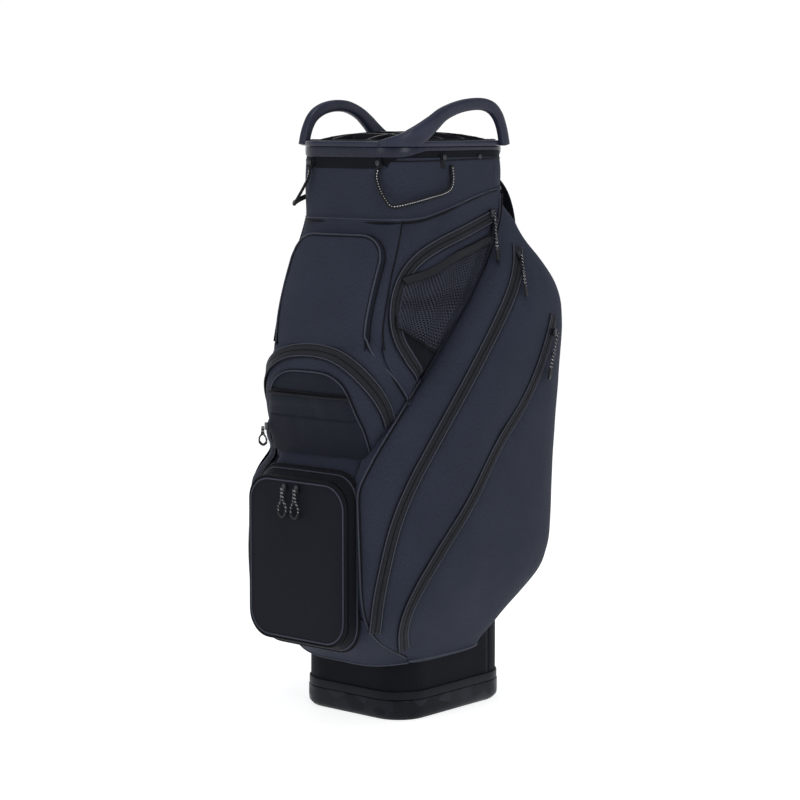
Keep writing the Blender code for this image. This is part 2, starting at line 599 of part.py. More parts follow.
for side, tag in ((1, "right"), (-1, "left")):
    for name, z, t, clear in (("rear_", 0.556, 0.568, 0.0085), ("front_", 0.667, 0.385, 0.0130)):
        skin = pocket_skin(side, z, t, PULL_LEN, clear)
        below = pocket_skin(side, z - 0.006, t)
        slider(name + tag, skin, below[0] - skin[0])
    # The upper side pocket's slider stands at the top of its zip, by the cuff.
    out = Vector((side * 0.99, -0.14, 0)).normalized()
    top = Vector((side * 0.1050, 0.0680, 0.7300)) + out * 0.0040
    low = Vector((side * 0.1385, 0.0500, 0.6590))
    slider("upper_" + tag, (top, low, out), (0, 0, -1), 0.0740)
FRONT = Vector((0, -1, 0))
face_y = panel_y - PANEL_T
for tag, x in (("ball_inner", 0.004), ("ball_outer", -0.020)):
    top = Vector((x, face_y - 0.0008, 0.3455))
    slider(tag, (top, top + FRONT * 0.0081 - Vector((0, 0, 0.042)), FRONT), (0, 0, -1), 0.042)
out = Vector((-0.45, -0.90, 0)).normalized()
top = Vector((-0.0900, -0.1900, 0.4240)) + out * 0.0030
slider("middle", (top, top + out * 0.0090 - Vector((0, 0, 0.028)), out), (0, 0, -1), 0.028)
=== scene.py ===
from math import cos, pi, radians, sin

import bpy
import bmesh
import numpy as np
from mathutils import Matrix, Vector, noise


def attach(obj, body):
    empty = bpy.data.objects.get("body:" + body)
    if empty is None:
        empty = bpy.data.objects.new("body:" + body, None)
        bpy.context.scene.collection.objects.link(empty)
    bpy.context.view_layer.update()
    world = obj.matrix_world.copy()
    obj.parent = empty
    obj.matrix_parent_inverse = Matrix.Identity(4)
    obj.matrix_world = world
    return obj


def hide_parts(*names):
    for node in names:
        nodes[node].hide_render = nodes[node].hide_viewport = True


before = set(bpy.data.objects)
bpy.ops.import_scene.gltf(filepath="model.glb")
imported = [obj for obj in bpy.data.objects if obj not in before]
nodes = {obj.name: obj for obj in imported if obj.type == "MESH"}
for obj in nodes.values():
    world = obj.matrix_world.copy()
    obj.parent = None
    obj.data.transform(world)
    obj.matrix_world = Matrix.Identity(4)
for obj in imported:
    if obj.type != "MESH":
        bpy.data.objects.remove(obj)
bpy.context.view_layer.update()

scene = bpy.context.scene
BAG = "bag"
STEP = 0.004                                      # spacing of points along seams and piping
# Plans as width, depth and corner radius: the tube, the cuff, and what fits under the cuff.
TUBE_PLAN = (0.208, 0.245, 0.050)
CUFF_PLAN = (0.2130, 0.2520, 0.052)
UNDER_CUFF = (0.2122, 0.2512, 0.052)


# ---- camera, light and floor --------------------------------------------------------------
def aim(obj, target):
    obj.rotation_mode = "QUATERNION"
    obj.rotation_quaternion = (Vector(target) - obj.location).to_track_quat("-Z", "Y")


def add_camera():
    bpy.ops.object.camera_add(location=(2.3618, -2.7170, 0.870))
    cam = bpy.context.object
    cam.data.sensor_width, cam.data.lens = 36.0, 109.8
    cam.data.dof.use_dof = False
    aim(cam, (-0.0039, -0.0034, 0.452))
    scene.camera = cam


def add_area(place, target, size, power, size_y=None):
    bpy.ops.object.light_add(type="AREA", location=place)
    lamp = bpy.context.object
    lamp.data.shape = "RECTANGLE"
    lamp.data.size = size
    lamp.data.size_y = size_y or size
    lamp.data.energy = power
    aim(lamp, target)


def add_floor():
    bpy.ops.mesh.primitive_plane_add(size=90.0, location=(0, 0, 0))
    floor = bpy.context.object
    floor.name = "studio_floor"
    mat = bpy.data.materials.new("studio_floor")
    mat.use_nodes = True
    shader = mat.node_tree.nodes["Principled BSDF"]
    shader.inputs["Base Color"].default_value = (0.62, 0.62, 0.62, 1)
    shader.inputs["Roughness"].default_value = 0.9
    shader.inputs["Specular IOR Level"].default_value = 0.1
    shader.inputs["Emission Color"].default_value = (1, 1, 1, 1)
    shader.inputs["Emission Strength"].default_value = 0.74
    floor.data.materials.append(mat)


def add_world():
    world = bpy.data.worlds.new("studio")
    scene.world = world
    world.use_nodes = True
    tree = world.node_tree
    sky = tree.nodes["Background"]
    coords = tree.nodes.new("ShaderNodeTexCoord")
    split = tree.nodes.new("ShaderNodeSeparateXYZ")
    ramp = tree.nodes.new("ShaderNodeValToRGB")
    tree.links.new(coords.outputs["Generated"], split.inputs[0])
    tree.links.new(split.outputs["Z"], ramp.inputs["Fac"])
    tree.links.new(ramp.outputs["Color"], sky.inputs["Color"])
    ramp.color_ramp.elements[0].position, ramp.color_ramp.elements[1].position = 0.10, 0.34
    ramp.color_ramp.elements[0].color = (1, 1, 1, 1)
    ramp.color_ramp.elements[1].color = (0.40, 0.41, 0.43, 1)
    sky.inputs["Strength"].default_value = 1.03


add_camera()
add_world()
add_floor()
add_area((2.9, -1.3, 1.7), (0, 0, 0.5), 1.1, 27, size_y=1.8)
add_area((-0.6, -3.1, 1.7), (0, 0, 0.5), 0.9, 12, size_y=1.8)
add_area((0.5, -0.4, 3.0), (0, 0, 0.6), 1.2, 24)
add_area((-2.6, 1.8, 1.6), (0, 0, 0.5), 1.6, 9)
scene.view_settings.view_transform = "Standard"


# ---- materials ----------------------------------------------------------------------------
class Maker:
    """Builds one node material step by step."""

    def __init__(self, name, colour, rough, metal=0.0, sheen=0.0, spec=0.5):
        self.mat = bpy.data.materials.new(name)
        self.mat.use_nodes = True
        self.tree = self.mat.node_tree
        self.shader = self.tree.nodes["Principled BSDF"]
        put = self.shader.inputs
        put["Base Color"].default_value = (*colour, 1)
        put["Roughness"].default_value = rough
        put["Metallic"].default_value = metal
        put["Specular IOR Level"].default_value = spec
        put["Sheen Weight"].default_value = sheen
        put["Sheen Roughness"].default_value = 0.45
        put["Sheen Tint"].default_value = (0.55, 0.62, 0.80, 1)
        self.height = None
        self.coords = self.add("ShaderNodeTexCoord")

    def add(self, kind, **values):
        node = self.tree.nodes.new(kind)
        for key, value in values.items():
            if key in node.inputs:
                node.inputs[key].default_value = value
            else:
                setattr(node, key, value)
        return node

    def link(self, a, b):
        self.tree.links.new(a, b)

    def place(self, space, scale=(1, 1, 1), turn=0.0):
        mapping = self.add("ShaderNodeMapping")
        mapping.inputs["Scale"].default_value = scale
        mapping.inputs["Rotation"].default_value = (0, 0, turn)
        self.link(self.coords.outputs[space], mapping.inputs["Vector"])
        return mapping.outputs["Vector"]

    def noise(self, space, scale, detail=3.0, rough=0.55, stretch=(1, 1, 1)):
        node = self.add("ShaderNodeTexNoise", Scale=scale, Detail=detail, Roughness=rough)
        self.link(self.place(space, stretch), node.inputs["Vector"])
        return node.outputs["Fac"]

    def wave(self, space, scale, turn=0.0, direction="X"):
        node = self.add("ShaderNodeTexWave", Scale=scale, bands_direction=direction)
        self.link(self.place(space, (1, 1, 1), turn), node.inputs["Vector"])
        return node.outputs["Fac"]

    def mix(self, a, b, kind="ADD"):
        node = self.add("ShaderNodeMath", operation=kind)
        self.link(a, node.inputs[0])
        if hasattr(b, "node"):
            self.link(b, node.inputs[1])
        else:
            node.inputs[1].default_value = b
        return node.outputs[0]

    def ramp(self, value, low, high, dark, light):
        node = self.add("ShaderNodeValToRGB")
        node.color_ramp.elements[0].position = low
        node.color_ramp.elements[1].position = high
        node.color_ramp.elements[0].color = (*dark, 1)
        node.color_ramp.elements[1].color = (*light, 1)
        self.link(value, node.inputs["Fac"])
        return node.outputs["Color"]

    def colour(self, output):
        self.link(output, self.shader.inputs["Base Color"])

    def rough(self, value, low, high):
        node = self.add("ShaderNodeMapRange")
        node.inputs["To Min"].default_value = low
        node.inputs["To Max"].default_value = high
        self.link(value, node.inputs["Value"])
        self.link(node.outputs["Result"], self.shader.inputs["Roughness"])

    def bump(self, value, depth, strength=1.0):
        node = self.add("ShaderNodeBump", Strength=strength, Distance=depth)
        self.link(value, node.inputs["Height"])
        if self.height is not None:
            self.link(self.height, node.inputs["Normal"])
        self.height = node.outputs["Normal"]
        self.link(self.height, self.shader.inputs["Normal"])


# A wave texture makes one band in WAVE metres at a scale of 1.
WAVE = 0.314


def woven(name, dark, light, rough=0.72, pitch=0.0016, sheen=0.04, depth=0.00035):
    """Plain woven nylon: warp and weft, mottled yarn colour, slow patches and small creases."""
    m = Maker(name, light, rough, sheen=sheen, spec=0.10)
    scale = WAVE / pitch
    warp = m.wave("UV", scale, 0.0, "X")
    weft = m.wave("UV", scale, 0.0, "Y")
    yarn = m.mix(warp, weft, "MULTIPLY")
    fleck = m.noise("UV", 620.0, 2.0, 0.75, (1.0, 0.45, 1.0))
    patch = m.noise("Object", 9.0, 3.0)
    tone = m.mix(m.mix(fleck, 0.75, "MULTIPLY"), m.mix(patch, 0.30, "MULTIPLY"))
    tone = m.mix(tone, m.mix(yarn, 0.16, "MULTIPLY"))
    m.colour(m.ramp(tone, 0.36, 0.74, dark, light))
    m.rough(fleck, rough - 0.08, rough + 0.10)
    m.bump(yarn, depth, 0.8)
    m.bump(m.noise("Object", 34.0, 4.0, 0.6), 0.0012, 0.30)
    return m.mat


def moulded(name, dark, light, rough=0.35, spec=0.25):
    """Injection-moulded plastic with a fine texture, faint flow tone, painted shade in hollows and a
    painted highlight on sharp edges.
    """
    m = Maker(name, light, rough, spec=spec)
    tone = m.noise("Object", 22.0, 4.0, 0.6)
    # Pointiness paints hollows darker as painted shade and sharp edges lighter as a painted highlight.
    edge = m.add("ShaderNodeNewGeometry").outputs["Pointiness"]
    edge_highlight_hollow_shade = m.ramp(edge, 0.49, 0.56, dark, light)
    flow = m.ramp(tone, 0.30, 0.75, dark, light)
    blend = m.add("ShaderNodeMix", data_type="RGBA", blend_type="MIX")
    blend.inputs[0].default_value = 0.35
    m.link(flow, blend.inputs[6])
    m.link(edge_highlight_hollow_shade, blend.inputs[7])
    m.colour(blend.outputs[2])
    m.rough(m.noise("Object", 160.0, 3.0), rough - 0.06, rough + 0.10)
    m.bump(m.noise("Object", 1400.0, 2.0), 0.00008, 0.5)
    return m.mat


def faceted(name, dark, light, rough=0.4):
    """Moulded plastic painted in cells of lighter and darker tone: painted shading that stands for
    flat facets turned to and from the light.
    """
    m = Maker(name, light, rough, spec=0.12)
    cells = m.add("ShaderNodeTexVoronoi", Scale=34.0)
    m.link(m.place("Object", (1.0, 1.0, 1.5), radians(25)), cells.inputs["Vector"])
    parts = m.add("ShaderNodeSeparateColor")
    m.link(cells.outputs["Color"], parts.inputs[0])
    # Each cell's tone is painted light and shade, standing for a facet that faces toward or away from
    # the light.
    m.colour(m.ramp(parts.outputs[0], 0.05, 0.95, dark, light))
    m.rough(parts.outputs[1], rough - 0.12, rough + 0.12)
    m.bump(m.noise("Object", 1400.0, 2.0), 0.00008, 0.5)
    return m.mat


def ribbed_tape(name, dark, light, rough=0.6):
    """Woven tape: ribs across its length and a herringbone of fine yarn."""
    m = Maker(name, light, rough, sheen=0.03, spec=0.15)
    pitch = 0.0022
    rib = m.wave("UV", WAVE / pitch, 0.0, "Y")
    fine = m.wave("UV", WAVE / (pitch * 0.6), radians(45), "X")
    tone = m.mix(m.mix(rib, 0.5, "MULTIPLY"), m.mix(m.noise("Object", 700.0, 2.0), 0.5, "MULTIPLY"))
    m.colour(m.ramp(tone, 0.25, 0.8, dark, light))
    m.bump(m.mix(rib, fine), 0.0003, 0.8)
    return m.mat


def net(name):
    """Knitted net: open six-sided holes between thin dark threads."""
    m = Maker(name, (0.020, 0.023, 0.034), 0.6, sheen=0.02, spec=0.15)
    a, b, c = (m.wave("UV", WAVE / 0.0044, radians(turn), "X") for turn in (90, 32, -32))
    cell = m.mix(m.mix(a, b), c)
    hole = m.add("ShaderNodeMapRange")
    hole.inputs["From Min"].default_value = 1.55
    hole.inputs["From Max"].default_value = 1.85
    hole.inputs["To Min"].default_value = 1.0
    hole.inputs["To Max"].default_value = 0.0
    m.link(cell, hole.inputs["Value"])
    m.link(hole.outputs["Result"], m.shader.inputs["Alpha"])
    m.bump(cell, 0.0004, 0.6)
    return m.mat


def braided(name, dark, fleck):
    """Braided rope: dark yarn crossed by bright flecks along its length."""
    m = Maker(name, dark, 0.55, spec=0.2)
    a = m.wave("UV", WAVE / 0.0042, radians(38), "Y")
    b = m.wave("UV", WAVE / 0.0021, radians(-38), "Y")
    cross = m.mix(m.mix(a, b, "MULTIPLY"), m.noise("Object", 500.0, 1.0), "MULTIPLY")
    m.colour(m.ramp(cross, 0.26, 0.34, dark, fleck))
    m.bump(m.mix(a, b), 0.0003, 0.8)
    return m.mat


ROPE = braided("pull_rope", (0.0030, 0.0033, 0.0042), (0.46, 0.47, 0.50))
NAVY = woven("navy_nylon", (0.0118, 0.0145, 0.0245), (0.0255, 0.0302, 0.0470))
# The piping is the navy cloth painted lighter: a painted highlight along its rounded top.
PIPING_HIGHLIGHT = woven("navy_piping_highlight", (0.0240, 0.0275, 0.0400), (0.0520, 0.0580, 0.0770), 0.45, 0.0012)
DUSK = woven("dark_nylon", (0.0046, 0.0058, 0.0104), (0.0104, 0.0124, 0.0206), rough=0.66)
PANEL = woven("coated_panel", (0.0028, 0.0034, 0.0066), (0.0056, 0.0065, 0.0114), rough=0.60,
              pitch=0.0012, sheen=0.01, depth=0.00015)
BLACK_CLOTH = woven("black_nylon", (0.0013, 0.0017, 0.0032), (0.0036, 0.0044, 0.0076), 0.7)
TAPE = ribbed_tape("zip_tape", (0.0052, 0.0060, 0.0084), (0.0120, 0.0132, 0.0176), 0.5)
WEB = ribbed_tape("black_webbing", (0.0030, 0.0034, 0.0046), (0.0085, 0.0092, 0.0120))
PIPE = woven("black_piping", (0.0009, 0.0011, 0.0018), (0.0028, 0.0032, 0.0048), 0.5, 0.0012)
SLATE = moulded("slate_plastic", (0.0068, 0.0084, 0.0175), (0.0135, 0.0160, 0.0300), 0.24, spec=0.20)
GRIP = moulded("grip_plastic", (0.0120, 0.0142, 0.0270), (0.0240, 0.0275, 0.0480), 0.32, spec=0.18)
FOOT = faceted("foot_plastic", (0.0030, 0.0035, 0.0062), (0.0125, 0.0138, 0.0205), 0.38)
INK = moulded("ink_plastic", (0.0030, 0.0035, 0.0056), (0.0075, 0.0085, 0.0130), 0.42, spec=0.10)
JET = moulded("black_plastic", (0.0022, 0.0025, 0.0034), (0.0070, 0.0076, 0.0096), 0.33)
THREAD = moulded("thread", (0.0030, 0.0036, 0.0058), (0.0080, 0.0094, 0.0142), 0.6)
GLINT = moulded("reflective_thread", (0.30, 0.31, 0.33), (0.62, 0.64, 0.66), 0.30)
NET = net("pocket_net")
gun = Maker("slider_metal", (0.045, 0.047, 0.055), 0.32, metal=0.9)
gun.rough(gun.noise("Object", 900.0, 2.0), 0.25, 0.45)
gun.bump(gun.noise("Object", 800.0, 2.0), 0.00004, 0.6)
GUNMETAL = gun.mat


# ---- mesh helpers -------------------------------------------------------------------------
def deselect():
    if bpy.context.object and bpy.context.object.mode != "OBJECT":
        bpy.ops.object.mode_set(mode="OBJECT")
    bpy.ops.object.select_all(action="DESELECT")


def new_piece(name, verts, faces, mat, uvs, body=BAG):
    """A smooth-shaded mesh object that rides a body, with one UV pair for each vertex."""
    mesh = bpy.data.meshes.new(name)
    mesh.from_pydata([tuple(v) for v in verts], [], faces)
    layer = mesh.uv_layers.new(name="UVMap")
    for loop in mesh.loops:
        layer.data[loop.index].uv = uvs[loop.vertex_index]
    mesh.materials.append(mat)
    for poly in mesh.polygons:
        poly.use_smooth = True
    mesh.validate()
    obj = bpy.data.objects.new(name, mesh)
    scene.collection.objects.link(obj)
    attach(obj, body)
    return obj


def face_out(obj):
    """Turn a closed piece's faces outward."""
    bm = bmesh.new()
    bm.from_mesh(obj.data)
    bmesh.ops.recalc_face_normals(bm, faces=bm.faces)
    bm.to_mesh(obj.data)
    bm.free()


def unit(vectors):
    vectors = np.asarray(vectors, float)
    return vectors / np.maximum(np.linalg.norm(vectors, axis=-1, keepdims=True), 1e-9)


def smooth01(x):
    x = np.clip(x, 0, 1)
    return x * x * (3 - 2 * x)


def quads(n, m, closed=True):
    """Faces between n rows of m points, with each row a ring when closed."""
    return [(i * m + j, i * m + (j + 1) % m, (i + 1) * m + (j + 1) % m, (i + 1) * m + j)
            for i in range(n - 1) for j in range(m if closed else m - 1)]


def capped(n, m):
    """Faces of a solid made of n rings of m points."""
    return quads(n, m) + [tuple(range(m))[::-1], tuple((n - 1) * m + j for j in range(m))]


def along(points):
    """Distance travelled along a row of points."""
    points = np.asarray(points, float)
    steps = np.linalg.norm(np.diff(points, axis=0), axis=1)
    return np.concatenate([[0.0], np.cumsum(steps)])


def grid_uv(rows):
    """Metres along and across a grid of points, for patterns that follow the cloth."""
    rows = np.asarray(rows, float)
    n, m = rows.shape[:2]
    across = np.cumsum(np.concatenate([np.zeros((n, 1)),
                                       np.linalg.norm(np.diff(rows, axis=1), axis=2)], 1), 1)
    across = across - across[:, m // 2:m // 2 + 1]
    middle = along(rows[:, m // 2])
    return np.stack([across, np.repeat(middle[:, None], m, 1)], -1).reshape(-1, 2)


def shell(name, rows, mat, thick=0.002, body=BAG):
    """A sheet of cloth from a grid of points, with a real thickness behind it."""
    rows = np.asarray(rows, float)
    n, m = rows.shape[:2]
    obj = new_piece(name, rows.reshape(-1, 3), quads(n, m, False), mat, grid_uv(rows), body)
    if thick:
        mod = obj.modifiers.new("wall", "SOLIDIFY")
        mod.thickness, mod.offset = thick, -1
        deselect()
        bpy.context.view_layer.objects.active = obj
        bpy.ops.object.modifier_apply(modifier="wall")
    return obj


def skin_normals(rows):
    """Outward directions of a grid whose rows run upward and whose columns run to the right."""
    rows = np.asarray(rows, float)
    return unit(np.cross(np.gradient(rows, axis=1), np.gradient(rows, axis=0)))


def point_and_normal(skin, a, b):
    """Points and outward normals of a skin at arrays of its two parameters."""
    e = 0.004
    p = skin(a, b)
    du = skin(a, np.clip(b + e, -1, 1)) - skin(a, np.clip(b - e, -1, 1))
    dv = skin(a + 0.002, b) - skin(a - 0.002, b)
    return p, unit(np.cross(du, dv))


def read_at(distances, table, want):
    """A table's columns read at the wanted distances along it."""
    return np.stack([np.interp(want, distances, table[:, k]) for k in range(table.shape[1])], 1)


def smooth_path(points, count):
    """A smooth curve through a list of points, evenly spaced."""
    pts = np.asarray(points, float)
    ext = np.vstack([2 * pts[0] - pts[1], pts, 2 * pts[-1] - pts[-2]])
    out = []
    for i in range(len(pts) - 1):
        p0, p1, p2, p3 = ext[i:i + 4]
        for f in np.linspace(0, 1, 24, endpoint=False):
            out.append(0.5 * (2 * p1 + (p2 - p0) * f + (2 * p0 - 5 * p1 + 4 * p2 - p3) * f ** 2
                              + (3 * p1 - p0 - 3 * p2 + p3) * f ** 3))
    out.append(pts[-1])
    out = np.array(out)
    d = along(out)
    return read_at(d, out, np.linspace(0, d[-1], count))


def even(points, normals, step=STEP):
    """Resample a space curve and its normals at an even step."""
    d = along(points)
    count = max(3, int(round(d[-1] / step)) + 1)
    want = np.linspace(0, d[-1], count)
    return read_at(d, points, want), unit(read_at(d, normals, want))


def averaged(points, reach):
    """A path with each point moved to the mean of its neighbours, its ends held straight."""
    ext = np.vstack([2 * points[0] - points[reach:0:-1], points,
                     2 * points[-1] - points[-2:-reach - 2:-1]])
    return sum(ext[k:k + len(points)] for k in range(2 * reach + 1)) / (2 * reach + 1)


def frames(points, normals):
    """Directions forward, sideways and outward along a curve."""
    t = unit(np.gradient(points, axis=0))
    s = unit(np.cross(normals, t))
    return t, s, np.cross(t, s)


def sweep(name, points, normals, profile, mat, body=BAG):
    """Sweep a closed profile of (side, up) offsets along a curve that lies on a surface."""
    points, normals = np.asarray(points, float), np.asarray(normals, float)
    _, s, n = frames(points, normals)
    prof = np.asarray(profile, float)
    m = len(prof)
    rings = points[:, None] + s[:, None] * prof[None, :, :1] + n[:, None] * prof[None, :, 1:]
    around = along(np.vstack([prof, prof[:1]]))[:m]
    uvs = np.stack([np.tile(around, len(points)), np.repeat(along(points), m)], 1)
    return new_piece(name, rings.reshape(-1, 3), capped(len(points), m), mat, uvs, body)


def round_profile(radius, n=8):
    return [(radius * cos(2 * pi * k / n), radius * sin(2 * pi * k / n)) for k in range(n)]


def strip_profile(width, thick, crown=0.0):
    """Cross-section of a tape, lying on the surface with a slightly crowned top."""
    n = 6
    top = [(-width / 2 + width * k / n, thick + crown * sin(pi * k / n)) for k in range(n + 1)]
    return (top + [(width / 2, 0.0), (-width / 2, 0.0)])[::-1]


def line_on(skin, params, lift=0.0, step=STEP, count=160):
    """A curve that follows a skin through parameter points, lifted off it."""
    path = smooth_path(params, count)
    p, n = even(*point_and_normal(skin, path[:, 0], path[:, 1]), step)
    return p + n * lift, n


def stitches(name, points, normals, gap=0.0034, length=0.0022, radius=0.00030, mat=THREAD,
             body=BAG):
    """A row of sewn stitches, each a short thread lying along the line."""
    d = along(points)
    verts, faces = [], []
    middles = (np.arange(int(d[-1] / gap)) + 0.5) * gap
    for c, tt, ss, nn in zip(*(read_at(d, q, middles) for q in (points, *frames(points, normals)))):
        base = len(verts)
        for f, r in ((-0.5, 0.3), (0.0, 1.0), (0.5, 0.3)):
            for k in range(4):
                a = pi / 2 * k
                verts.append(c + tt * f * length + (ss * cos(a) + nn * (sin(a) + 0.4)) * radius * r)
        for a in (0, 4):
            for k in range(4):
                j = (k + 1) % 4
                faces.append((base + a + k, base + a + j, base + a + 4 + j, base + a + 4 + k))
        faces.append((base + 3, base + 2, base + 1, base))
        faces.append((base + 8, base + 9, base + 10, base + 11))
    return new_piece(name, verts, faces, mat, np.zeros((len(verts), 2)), body)


def laid_on(skin, points, z_range, t_range):
    """Points drawn onto a skin, with the skin's outward directions there."""
    z = np.linspace(z_range[0], z_range[1], 260)[:, None]
    t = np.linspace(t_range[0], t_range[1], 260)[None, :]
    rows = skin(z + 0 * t, t + 0 * z)
    normals = skin_normals(rows).reshape(-1, 3)
    flat = rows.reshape(-1, 3)
    out, way = [], []
    for q in points:
        i = np.argmin(((flat - q) ** 2).sum(1))
        out.append(q - normals[i] * ((q - flat[i]) @ normals[i]))
        way.append(normals[i])
    way = np.array(way)
    for _ in range(3):
        way[1:-1] = (way[:-2] + way[1:-1] + way[2:]) / 3
    return np.array(out), unit(way)


def zip_run(name, skin, params, width, lift, side=1):
    """A covered zip: two woven flaps that meet in a narrow slit, between two raised edges."""
    p, _ = line_on(skin, params, count=240)
    for _ in range(4):
        p = averaged(averaged(p, 6), 4)
    zs, ts = zip(*params)
    p, n = laid_on(skin, p, (min(zs) - 0.02, max(zs) + 0.02), (min(ts) - 0.06, max(ts) + 0.06))
    p, n = even(p, n)
    p, n = handed(side, p + n * lift, n)
    _, s, nn = frames(p, n)
    half = width / 2
    for sign, tag in ((1, "a"), (-1, "b")):
        out = s * sign
        sweep("%s_flap_%s" % (name, tag), p + out * (half / 2 + 0.0003), n,
              strip_profile(half - 0.0006, 0.0011, 0.0006), TAPE)
        # The edge tubes carry the piping's painted highlight; the black groove tubes are painted shade
        # in the grooves beside the tape.
        for part, aside, up, radius, mat in (("edge", half + 0.0012, 0.0008, 0.00115, PIPING_HIGHLIGHT),
                                             ("groove", half + 0.0027, 0.0003, 0.0009, PIPE),
                                             ("lip", half - 0.0004, 0.0004, 0.0009, PIPE)):
            sweep("%s_%s_%s" % (name, part, tag), p + out * aside + nn * up, n,
                  round_profile(radius), mat)
    # The black slit tube is painted shade in the gap where the two flaps meet.
    sweep(name + "_slit", p + nn * 0.0004, n, round_profile(0.0007), PIPE)
    return p, n


def soften(rows, seams, depth=0.0020, reach=0.010):
    """Pull a grid of points in along its seams, so that the cloth swells between them."""
    rows = np.asarray(rows, float)
    n = skin_normals(rows)
    flat = rows.reshape(-1, 3)
    pts = np.vstack(seams)
    best = np.full(len(flat), 1e9)
    for start in range(0, len(pts), 60):
        d = np.linalg.norm(flat[:, None] - pts[None, start:start + 60], axis=2)
        best = np.minimum(best, d.min(1))
    pull = depth * np.exp(-(best / reach) ** 1.5)
    return rows - n * pull.reshape(rows.shape[:2])[..., None]


def crease(rows, amount=0.0012, scale=14.0, seed=0.0, stretch=(1, 1, 1)):
    """Slow, uneven waves in slack cloth."""
    rows = np.asarray(rows, float)
    n = skin_normals(rows)
    flat = rows.reshape(-1, 3)
    wave = np.array([noise.noise(Vector((p[0] * stretch[0], p[1] * stretch[1],
                                         p[2] * stretch[2])) * scale + Vector((seed, 7, 3)))
                     for p in flat])
    return rows + n * (wave * amount).reshape(rows.shape[:2])[..., None]


def drawn_back(points):
    """The left pocket's front edge, drawn back above the ball pocket."""
    p = np.array(points, float)
    f = np.exp(-((p[..., 2] - 0.380) / 0.024) ** 2)
    g = smooth01((-0.09 - p[..., 1]) / 0.08)
    p[..., 1] += np.where(p[..., 0] < 0, 0.030 * f * g, 0)
    return p


def sided(side, rows):
    """A grid made for the right side, or its twin for the left when side is -1."""
    return rows if side > 0 else drawn_back(np.asarray(rows)[:, ::-1] * (-1, 1, 1))


def handed(side, points, normals):
    """The same run on the other side of the bag when side is -1."""
    if side > 0:
        return points, normals
    return drawn_back(points[::-1] * (-1, 1, 1)), normals[::-1] * (-1, 1, 1)


def both_sides(make):
    make(1, "right")
    make(-1, "left")


def eased(rows, column, z):
    """A table's column read at height z along a softened line, with no kinks at the rows."""
    zs = np.array([r[0] for r in rows])
    vs = np.array([r[column] for r in rows])
    total = 0.0
    for shift, weight in ((-0.014, 1), (-0.007, 2), (0.0, 2), (0.007, 2), (0.014, 1)):
        total = total + weight * np.interp(np.asarray(z) + shift, zs, vs)
    return total / 8.0


# ---- the bag's own shapes -----------------------------------------------------------------
# Clothing pocket: height, front edge x, front edge y, back y, widest x.
CLOTHING = [
    (0.092, 0.109, -0.105, 0.046, 0.117), (0.110, 0.108, -0.150, 0.069, 0.125),
    (0.135, 0.107, -0.188, 0.093, 0.138), (0.165, 0.106, -0.207, 0.130, 0.154),
    (0.200, 0.104, -0.212, 0.168, 0.170), (0.240, 0.103, -0.213, 0.181, 0.179),
    (0.330, 0.099, -0.213, 0.184, 0.181), (0.352, 0.098, -0.212, 0.185, 0.181),
    (0.400, 0.109, -0.186, 0.186, 0.182), (0.460, 0.117, -0.137, 0.188, 0.183),
    (0.520, 0.120, -0.082, 0.190, 0.184), (0.560, 0.121, -0.046, 0.190, 0.184),
    (0.600, 0.121, -0.006, 0.187, 0.181), (0.630, 0.119, 0.021, 0.176, 0.172),
    (0.660, 0.1165, 0.047, 0.155, 0.156), (0.690, 0.114, 0.068, 0.136, 0.131),
    (0.715, 0.1105, 0.083, 0.1270, 0.1160), (0.735, 0.1080, 0.092, 0.1240, 0.1085),
    (0.768, 0.1045, 0.097, 0.1200, 0.1050)]
SPINE_X = 0.072
# Upper side panel: height, front x, front y, back x.
FLANK = [(0.465, 0.1185, -0.1200, 0.1195), (0.480, 0.1185, -0.1310, 0.1200),
         (0.500, 0.1175, -0.1500, 0.1205), (0.528, 0.1110, -0.1665, 0.1205),
         (0.570, 0.1030, -0.166, 0.1215), (0.610, 0.1010, -0.155, 0.1215),
         (0.645, 0.0990, -0.143, 0.1190), (0.680, 0.0970, -0.128, 0.1150),
         (0.720, 0.0945, -0.1130, 0.1095), (0.765, 0.0925, -0.1080, 0.1070)]
# Upper front: height, corner x, corner y, middle y.
FRONT = [(0.520, 0.1020, -0.166, -0.179), (0.570, 0.1030, -0.166, -0.179),
         (0.600, 0.1015, -0.158, -0.173), (0.630, 0.0998, -0.1485, -0.163),
         (0.660, 0.0982, -0.1365, -0.151), (0.690, 0.0964, -0.1245, -0.139),
         (0.720, 0.0945, -0.1130, -0.1290), (0.765, 0.0925, -0.1080, -0.1255)]
# Middle pocket: height, half width, side end y, front y.
MIDDLE = [(0.380, 0.0960, -0.150, -0.186), (0.400, 0.0965, -0.160, -0.189),
          (0.415, 0.1000, -0.162, -0.192), (0.430, 0.1065, -0.156, -0.196),
          (0.450, 0.1130, -0.140, -0.201), (0.475, 0.1160, -0.120, -0.208),
          (0.500, 0.1165, -0.102, -0.210), (0.520, 0.1150, -0.090, -0.206),
          (0.540, 0.1100, -0.090, -0.196), (0.555, 0.1060, -0.100, -0.185),
          (0.570, 0.1020, -0.110, -0.176)]


def to_plan(points, wide, deep, radius):
    """Distance outside a rounded plan outline, and the direction straight away from it."""
    flat = np.asarray(points)[..., :2]
    q = np.abs(flat) - (wide / 2 - radius, deep / 2 - radius)
    out = np.maximum(q, 0)
    length = np.linalg.norm(out, axis=-1, keepdims=True)
    inside = np.minimum(np.max(q, axis=-1, keepdims=True), 0)
    way = np.where(length > 1e-6, out / np.maximum(length, 1e-6),
                   (q == np.max(q, axis=-1, keepdims=True)) * 1.0)
    way = way * np.sign(flat)
    return (length + inside - radius)[..., 0], np.concatenate([way, way[..., :1] * 0], -1)


